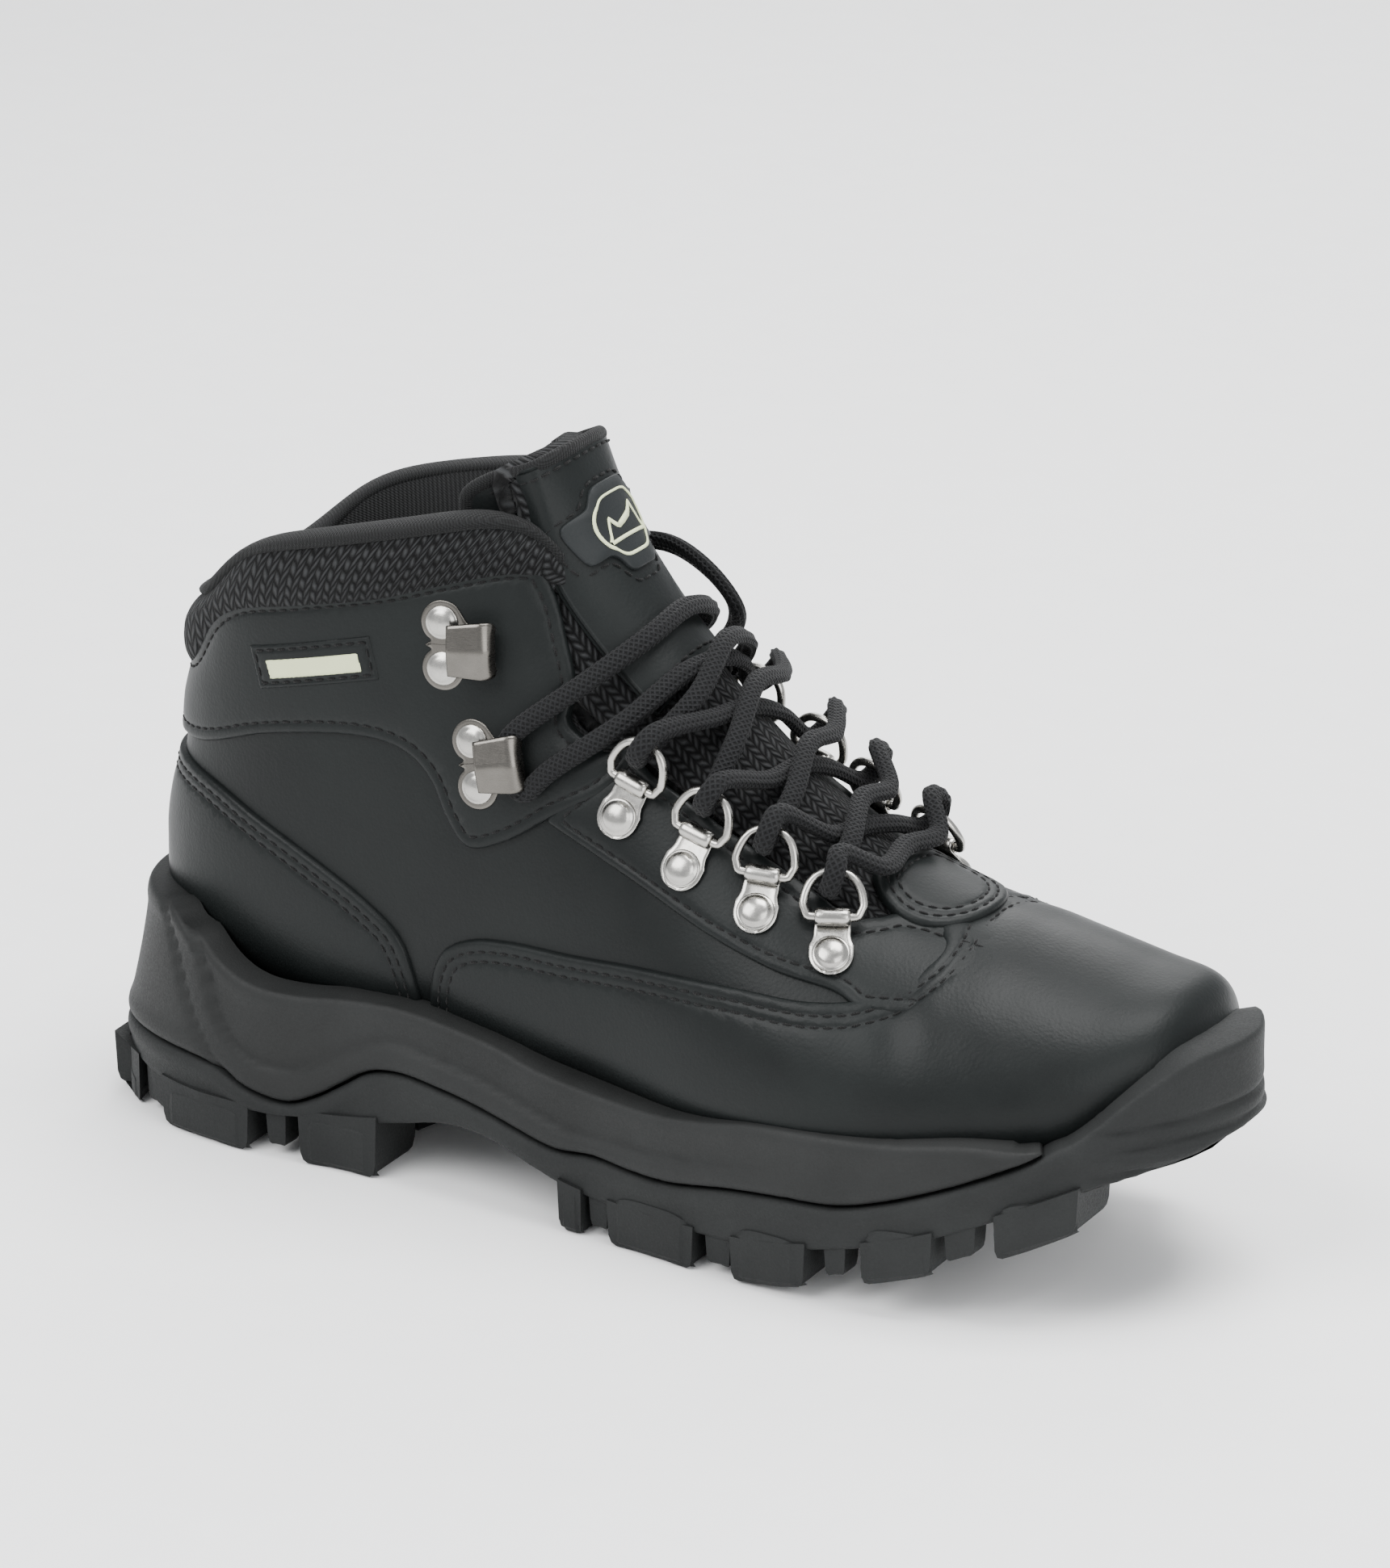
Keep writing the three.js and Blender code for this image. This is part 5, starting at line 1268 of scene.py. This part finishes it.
def hook_shape():
    """A speed hook: a waisted plate under two rivets, folded over in a flared, notched lip."""
    lobe, outline = 5.5, []
    for angle in np.linspace(155, -75, 14):
        turn = math.radians(angle)
        outline.append((RIVET_SPREAD + lobe * math.sin(turn), RIVET_BACK - lobe * math.cos(turn)))
    outline = outline[::-1]
    waist = [(0.0, RIVET_BACK - 4.6)]
    side = [(5.6, 4.6), (4.6, 6.4), (4.4, HOOK_FRONT)]
    right = outline[1:] if outline[0][1] < outline[-1][1] else outline[::-1][1:]
    ring = waist + right + side + [(0.0, HOOK_FRONT + 0.1)] + [(-x, y) for x, y in side[::-1]] + [
        (-x, y) for x, y in right[::-1]]
    base = plate(even(smooth(ring, 4, closed=True), step=0.5, closed=True), GAP, GAP + 0.9)
    line = [(y, GAP + 0.45) for y in np.linspace(6.0, HOOK_FRONT, 5)]
    for angle in np.linspace(-84, 84, 24):
        line.append((HOOK_FRONT + HOOK_CURL * math.cos(math.radians(angle)),
                     GAP + 0.45 + HOOK_CURL + HOOK_CURL * math.sin(math.radians(angle))))
    top = GAP + 0.45 + 2 * HOOK_CURL
    line += [(y, top + 0.1 * (HOOK_FRONT - y)) for y in np.linspace(8.2, 1.6, 10)]
    fold = np.linspace(0, 1, len(line))
    flared = np.clip((fold - 0.4) / 0.22, 0, 1)
    widths = 8.6 + 5.6 * flared * flared * (3 - 2 * flared) - 1.6 * np.clip((fold - 0.72) / 0.28, 0, 1)

    def pinched(f, share):
        return -0.9 * np.clip((f - 0.4) / 0.2, 0, 1) * (1 - abs(share)) ** 1.1

    def pointed(f, share):
        pull = np.clip((f - 0.38) / 0.1, 0, 1) * np.clip((0.66 - f) / 0.1, 0, 1)
        return -1.7 * pull * abs(share) ** 2.2

    fold_over = ribbon(line, widths, 0.85, across=15, dish=pinched, ends=pointed)
    return base, fold_over


def make_hardware():
    clip, ring = clip_shape(), ring_shape()
    points, faces = gathered(*hook_shape())
    for side, name in ((LATERAL, "lateral"), (MEDIAL, "medial")):
        for number, (at, toward) in enumerate(CLIPS, 1):
            axes = surface_frame(at, toward, side)
            tag = "%s_%d" % (name, number)
            add_mesh("ring_clip_" + tag, placed(clip[0], axes), clip[1], NICKEL, slot="nickel",
                     replaces=("clip_" + tag,))
            add_mesh("d_ring_" + tag, placed(ring[0], axes), ring[1], NICKEL, body="ring_" + tag,
                     slot="nickel", replaces=("ring_" + tag,))
            head = dome(4.7, 1.9, GAP + SHEET_METAL)
            add_mesh("clip_rivet_" + tag, placed(head[0], axes), head[1], NICKEL, slot="nickel",
                     replaces=("rivet_" + tag,))
        for place, at, toward in HOOKS:
            axes = surface_frame(at, toward, side)
            add_mesh("speed_hook_%s_%s" % (name, place), placed(points, axes), faces, GUNMETAL,
                     slot="gunmetal", replaces=("hook_%s_%s" % (name, place),))
            for x, end in ((-RIVET_SPREAD, "a"), (RIVET_SPREAD, "b")):
                head = dome(4.2, 1.3, GAP + 0.9, x, RIVET_BACK)
                add_mesh("hook_rivet_%s_%s_%s" % (name, place, end), placed(head[0], axes), head[1],
                         NICKEL, slot="nickel")


# ------------------------------------------------------------------ sole
sole_line = even(smooth(SOLE_OUTLINE, 8, closed=True), step=1.7, closed=True)
sole_way = unit(np.roll(sole_line, -1, 0) - np.roll(sole_line, 1, 0))
sole_out = np.stack([sole_way[:, 1], -sole_way[:, 0]], 1)
if ((sole_line - sole_line.mean(0)) * sole_out).sum() < 0:
    sole_out = -sole_out
for _ in range(3):
    sole_out = (np.roll(sole_out, 1, 0) + 2 * sole_out + np.roll(sole_out, -1, 0)) / 4
sole_out = unit(sole_out)
rim_line, foot_line = smooth(SOLE_RIM), smooth(MIDSOLE_FOOT)
root_line, tread_line = smooth(TREAD_ROOT), np.array(TREAD_FOOT, float)


def flare(z):
    return np.clip((58 - z) / 36, 0, 1)


def wall_points(z_values, sculpt):
    """The sole's side wall at some heights, with its relief."""
    rows = []
    for z in z_values:
        base = sole_line + sole_out * (1.5 * flare(z))
        heel = np.maximum(0, 1 - sole_line[:, 0] / 40)
        x = base[:, 0] - 7 * flare(z) * heel
        points = np.stack([x, base[:, 1], np.full(len(x), z)], 1)
        out = np.hstack([sole_out, np.zeros((len(x), 1))])
        rows.append(points + out * sculpt(points)[:, None])
    return np.array(rows)


def groove(distance, depth, width):
    return -depth * np.exp(-(distance / width) ** 2)


WING_BACK = smooth([(15.5, 63), (19.5, 55.5), (23, 47), (26, 38), (30, 29), (35, 23), (40, 19)])
WING_FRONT = smooth([(24, 60), (30, 52), (33, 45), (35.2, 37), (39.9, 29.5), (45, 25.8), (51, 24),
                     (59, 24), (66, 27.5), (75, 33), (84, 36.5), (92, 37), (101, 35.5), (113, 33.5),
                     (126, 30), (140, 26.5), (152, 26), (165, 26.5), (180, 28), (196, 31)])


def midsole_relief(points):
    """A raised wing that sweeps down from the heel cup and runs forward along the foot of the midsole."""
    side = points[:, [0, 2]]
    x, z = side.T
    height = np.interp(x, WING_FRONT[:, 0], WING_FRONT[:, 1])
    under = np.tanh((height - z) / 0.8)
    from_front = to_line(side, WING_FRONT)
    fade = np.clip((205 - x) / 30, 0, 1)
    rise = fade * (0.75 * under * np.exp(-from_front / 7) + groove(from_front, 1.0, 0.8))
    from_back = to_line(side, WING_BACK)
    behind = x < np.interp(-z, -WING_BACK[:, 1], WING_BACK[:, 0])
    rise = rise + groove(from_back, 1.0, 0.9) + np.where(behind, 0.5 * (1 - np.exp(-from_back / 3)), 0)
    near_foot = np.maximum(z - height_on(foot_line, x), 0)
    rise = rise + 0.5 * np.exp(-((near_foot - 3) / 2.4) ** 2)
    top = np.maximum(height_on(rim_line, x) - z, 0)
    rise = rise + 0.6 * np.exp(-((top - 3.0) / 2.6) ** 2)
    return rise + 0.25 * np.sin(x / 17.0 + z / 9.0)


def outsole_relief(points):
    side = points[:, [0, 2]]
    x, z = side.T
    below = np.maximum(height_on(foot_line, x) - z, 0)
    rise = 0.9 * np.exp(-((below - 3.2) / 2.6) ** 2)
    toe = np.clip((x - 276) / 8, 0, 1)
    for level in (50.5, 45.5, 40.0):
        rise = rise + toe * groove(z - level - 0.12 * (x - 290), 1.1, 0.8)
    return rise


TOE_LIP_START, TOE_LIP_RUN, TOE_LIP_EXTRA = 262, 20, 6


def wall_piece(name, field_outline, relief, material, step, lip, **options):
    z_values = np.arange(-2, 74, step)
    grid = wall_points(z_values, relief)
    high, around = grid.shape[:2]
    d_up = np.gradient(grid, axis=0)
    d_round = np.roll(grid, -1, 1) - np.roll(grid, 1, 1)
    normals = unit(np.cross(d_round, d_up))
    if (normals[:, :, :2] * sole_out[None]).sum() < 0:
        normals = -normals
    points = grid.reshape(-1, 3)
    index = np.arange(high * around).reshape(high, around)
    beside = np.roll(index, -1, axis=1)
    faces = np.array([(index[i, j], beside[i, j], beside[i + 1, j], index[i + 1, j])
                      for i in range(high - 1) for j in range(around)])
    field = signed(points[:, [0, 2]], field_outline)
    plan = np.broadcast_to(sole_out[None], (high, around, 2)).reshape(-1, 2)
    sheet = Sheet(points, normals.reshape(-1, 3), plan, field, faces)
    sheet.cut(0.0, keep_low=False)
    for level in (0.4, 1.0, 2.0):
        sheet.cut(level)
    co, normal, way, distance = sheet.table()
    surface_points = co + normal * rolled(distance, 1.9, 1.1)[:, None]
    border = sheet.edges_at(0.0, border=True)
    rim = sorted({i for edge in border for i in edge})
    number = {i: len(co) + k for k, i in enumerate(rim)}
    at_toe = np.clip((surface_points[rim, 0] - TOE_LIP_START) / TOE_LIP_RUN, 0, 1)
    reach = lip + TOE_LIP_EXTRA * at_toe
    inner = surface_points[rim] - np.hstack([way[rim] * reach[:, None], np.zeros((len(rim), 1))])
    rises = np.sign(inner[:, 2] - height_on(foot_line, inner[:, 0]) - 6)
    inner[:, 2] += rises * (0.5 - 1.6 * at_toe * (rises > 0))
    all_faces = sheet.faces + [(j, i, number[i], number[j]) for i, j in border]
    return add_mesh(name, np.vstack([surface_points, inner]), all_faces, material, **options)


def section_span(x):
    """The sole's lateral and medial edges at a distance along it."""
    order = sole_line
    near = []
    for (x0, y0), (x1, y1) in zip(order, np.roll(order, -1, 0)):
        if (x0 - x) * (x1 - x) <= 0 and x0 != x1:
            near.append(y0 + (y1 - y0) * (x - x0) / (x1 - x0))
    return min(near), max(near)


# Start and end of each lug along the sole, with the height that a side lug's face reaches.
SIDE_LUGS = [(-8, 13, 7), (20, 47, 11), (60, 84, 13), (139, 147, 13), (153, 181, 14), (191, 213, 15.5),
             (226, 245, 23), (257, 276, 33)]
CENTRE_LUGS = [(9, 24), (36, 48), (64, 78), (150, 166), (176, 192), (202, 217), (229, 243)]
CENTRE_LUG_BEND = 3.0
# Middle and half length of each small block between the side lugs.
NUBS = [(16.5, 3.5), (53.5, 4), (150, 3), (186, 4), (219.5, 4), (250.5, 4)]
NUB_DEPTH, NUB_CLEARANCE = 7, 2.5


def lug_block(corners, foot, root, chamfer=1.2):
    """A tread block from its plan corners, with softened edges towards the ground."""
    corners = np.asarray(corners, float)
    middle = corners.mean(axis=0)
    rings = []
    for inset, share in ((chamfer * 1.6, 0.0), (chamfer * 0.6, 0.06), (0.0, 0.22), (-0.5, 1.0)):
        way = corners - middle
        reach = np.linalg.norm(way, axis=1, keepdims=True)
        spots = corners - way / reach * inset
        z = foot(spots[:, 0]) + (root(spots[:, 0]) - foot(spots[:, 0])) * share
        rings.append(np.hstack([spots, z[:, None]]))
    return np.vstack(rings), loft(len(rings), len(corners), inside_out=True)


def edge_run(from_x, to_x, side, proud):
    """Points along the sole's edge on one side between two distances along it."""
    chosen = [i for i, (x, y) in enumerate(sole_line) if from_x <= x <= to_x and y * side > 0]
    spots = sole_line[chosen] + sole_out[chosen] * (1.5 + proud)
    heel = np.maximum(0, 1 - sole_line[chosen][:, 0] / 40)
    spots[:, 0] -= 7 * heel * 0.95
    return spots[np.argsort(spots[:, 0])]


def make_sole():
    behind_toe = rim_line[rim_line[:, 0] < 272][::-1]
    seam_outline = np.vstack([foot_line + (0, 0.25), [(272, 47), (272, 46.6)], behind_toe])
    wall_piece("midsole_wall", seam_outline, midsole_relief, MIDSOLE_RUBBER, 1.1, 7.0,
               slot="midsole_foam", replaces=("midsole",))
    low = np.vstack([root_line[root_line[:, 0] < 299], [(320, 56)]])
    outsole_outline = np.vstack([low, rim_line[rim_line[:, 0] > 272.3][::-1], (foot_line - (0, 0.25))[::-1]])
    wall_piece("outsole_wall", outsole_outline, outsole_relief, OUTSOLE_RUBBER, 1.1, 7.0,
               slot="rubber", replaces=("outsole",))
    blocks = []

    def foot(x):
        return np.interp(x, tread_line[:, 0], tread_line[:, 1])

    def root(x):
        return height_on(root_line, x) + 2

    for from_x, to_x, top in SIDE_LUGS:
        for side, inner in ((LATERAL, -19), (MEDIAL, 17)):
            run = edge_run(from_x, to_x, side, 0.5)
            if len(run) < 3:
                continue
            corners = np.vstack([run, [(run[-1][0] - 1, inner), (run[0][0] + 1, inner)]])
            blocks.append(lug_block(corners, foot, root))
            blocks.append(lug_face(run, foot, top, side))
    for from_x, to_x in CENTRE_LUGS:
        corners = [(from_x, -9), (from_x + CENTRE_LUG_BEND, 0), (from_x, 9),
                   (to_x, 10), (to_x + CENTRE_LUG_BEND, 0), (to_x, -10)]
        blocks.append(lug_block(corners, foot, root))
    for x, size in NUBS:
        for side in (LATERAL, MEDIAL):
            run = edge_run(x - size, x + size, side, -1.2)
            if len(run) < 2:
                continue
            inner = run[len(run) // 2][1] - side * NUB_DEPTH
            corners = np.vstack([run, [(run[-1][0], inner), (run[0][0], inner)]])
            blocks.append(lug_block(corners, lambda v: foot(v) + NUB_CLEARANCE, root, 0.6))
    stations = np.linspace(2, 302, 101)
    grid = []
    for x in stations:
        low_y, high_y = section_span(x)
        z = height_on(root_line, x)
        grid.append([(x, y, z - 0.02) for y in np.linspace(low_y + 0.8, high_y - 0.8, 12)])
    grid = np.array(grid)
    index = np.arange(grid.shape[0] * 12).reshape(-1, 12)
    faces = [(index[i, j], index[i + 1, j], index[i + 1, j + 1], index[i, j + 1])
             for i in range(len(stations) - 1) for j in range(11)]
    blocks.append((grid.reshape(-1, 3), faces))
    points, faces = gathered(*blocks)
    tread = add_mesh("outsole_tread", points, faces, OUTSOLE_RUBBER, slot="rubber")
    tread.data.polygons.foreach_set("use_smooth", [False] * len(tread.data.polygons))


def lug_face(run, foot, top, side):
    """The raised outer face of a side lug, which climbs the wall in a low arch."""
    reach = row_lengths(run)
    share = reach / reach[-1]
    crown = top - 3.0 * (2 * share - 1) ** 4
    out = []
    levels = (0.0, 0.12, 0.55, 0.9, 0.97, 1.0)
    pulls = (1.4, 0.2, 0.0, 0.1, 0.6, 2.4)
    for level, pull in zip(levels, pulls):
        for k, (x, y) in enumerate(run):
            z = foot(x) + (crown[k] - foot(x)) * level
            edge = 0.9 * max(0, 1 - 8 * min(share[k], 1 - share[k]))
            out.append((x, y - side * (pull + edge * 1.6 - 0.5), z))
    count = len(run)
    faces = []
    for level in range(len(levels) - 1):
        for k in range(count - 1):
            a, b = level * count + k, level * count + k + 1
            faces.append((a, b, b + count, a + count) if side < 0 else (b, a, a + count, b + count))
    return np.array(out), faces


# ------------------------------------------------------------------ badge
BADGE_RING, BADGE_RING_LINE, BADGE_LINE = 9.6, 0.8, 1.1
BADGE_HILLS = [(-7.4, -4.2), (-3.2, 2.4), (-0.8, -1.2), (3.0, 4.4), (7.6, -4.2)]
BADGE_GROUND = [(-7.4, -4.6), (7.6, -4.6)]
BADGE_HALF_WIDTH, BADGE_PLACE = 21.0, 0.47


def make_badge(grid, up):
    """A notched rubber patch on the tongue with a plain printed emblem of two hills in a ring."""
    rows, columns = grid.shape[:2]

    def at(u, v, lift):
        i = np.clip(u * (rows - 1), 0, rows - 1.001)
        j = np.clip((v + 1) / 2 * (columns - 1), 0, columns - 1.001)
        i0, j0 = int(i), int(j)
        fi, fj = i - i0, j - j0
        p = (grid[i0, j0] * (1 - fi) * (1 - fj) + grid[i0 + 1, j0] * fi * (1 - fj)
             + grid[i0, j0 + 1] * (1 - fi) * fj + grid[i0 + 1, j0 + 1] * fi * fj)
        n = up[i0, j0]
        return p + n * lift

    length = row_lengths(grid[:, columns // 2])[-1]

    def flat(points, lift):
        return np.array([at(BADGE_PLACE + y / length, x / BADGE_HALF_WIDTH, lift) for x, y in points])

    outline = smooth([(-14.5, -6), (-14.5, 7.5), (-8.5, 8.5), (-5, 13.5), (0, 14.6), (5, 13.5), (8.5, 8.5),
                      (14.5, 7.5), (14.5, -6), (8.5, -7.5), (5, -12), (0, -13), (-5, -12), (-8.5, -7.5)],
                     6, closed=True)
    rings = [flat(outline * k, lift)
             for k, lift in ((1.0, -0.3), (1.0, 0.8), (0.975, 1.05), (0.6, 1.05), (0.3, 1.05))]
    add_mesh("badge_patch", np.vstack(rings), loft(len(rings), len(outline), first=False), BADGE_RUBBER,
             slot="badge_plastic", replaces=("tongue_badge",))
    turns = np.linspace(0, 2 * math.pi, 60)
    ring = BADGE_RING * np.stack([np.cos(turns), np.sin(turns)], 1)
    points, faces = gathered(
        band(ring, BADGE_RING_LINE, flat),
        band(even(BADGE_HILLS, step=0.6), BADGE_LINE, flat),
        band(even(BADGE_GROUND, step=0.8), BADGE_LINE, flat))
    add_mesh("badge_print", points, faces, PALE_PRINT, slot="label_fabric")
    edge = smooth(outline[::6] * 1.16, 6, closed=True)
    edge = np.vstack([edge, edge[:1]])
    stitches("badge_stitching", [(flat(edge, 0.05), np.array([at(0.5, 0, 1) - at(0.5, 0, 0)] * len(edge)))])


def band(line, width, flat):
    """A raised printed stroke along a flat line."""
    line = np.asarray(line, float)
    way = unit(np.gradient(line, axis=0))
    side = np.stack([-way[:, 1], way[:, 0]], 1) * width / 2
    left, right = flat(line + side, 1.25), flat(line - side, 1.25)
    low_left, low_right = flat(line + side, 0.95), flat(line - side, 0.95)
    count = len(line)
    points = np.vstack([low_left, left, right, low_right])
    faces = []
    for k in range(count - 1):
        for strip in range(3):
            a = strip * count + k
            faces.append((a, a + 1, a + 1 + count, a + count))
    return points, faces


# ------------------------------------------------------------------ stage
FLOOR_HALF, FLOOR_Z = 6, -0.0004
# Name, place and size in metres, and power in watts.
LIGHTS = [("key", (-0.5, -1.1, 1.25), 1.1, 34), ("top", (0.35, 0.15, 1.5), 0.9, 34),
          ("fill", (1.2, -0.7, 0.55), 0.9, 12), ("back", (-0.4, 1.2, 0.9), 0.9, 12)]


def make_stage():
    floor_shader = Shader("studio_floor", 0.9)
    speck = floor_shader.noise(floor_shader.place(), 60, 2)
    floor_shader.wire("Base Color", floor_shader.mix(speck, (0.86, 0.86, 0.86), (0.9, 0.9, 0.9)))
    mesh = bpy.data.meshes.new("floor")
    corners = [(x * FLOOR_HALF, y * FLOOR_HALF, FLOOR_Z) for x, y in ((-1, -1), (1, -1), (1, 1), (-1, 1))]
    mesh.from_pydata(corners, [], [(0, 1, 2, 3)])
    floor = bpy.data.objects.new("floor", mesh)
    floor.data.materials.append(floor_shader.material)
    bpy.context.scene.collection.objects.link(floor)
    world = bpy.data.worlds.new("studio")
    world.use_nodes = True
    world.node_tree.nodes["Background"].inputs["Color"].default_value = (0.95, 0.97, 1.0, 1)
    world.node_tree.nodes["Background"].inputs["Strength"].default_value = 0.95
    bpy.context.scene.world = world
    for name, spot, size, power in LIGHTS:
        light = bpy.data.lights.new(name, "AREA")
        light.size = size
        light.energy = power
        made = bpy.data.objects.new(name, light)
        made.location = spot
        made.rotation_euler = (Vector((0, 0, 0.07)) - Vector(spot)).to_track_quat("-Z", "Y").to_euler()
        bpy.context.scene.collection.objects.link(made)


make_upper()
make_label()
make_inside()
make_collar()
cover_grid, cover_up = make_tongue()
make_badge(cover_grid, cover_up)
make_hardware()
make_sole()
make_stage()
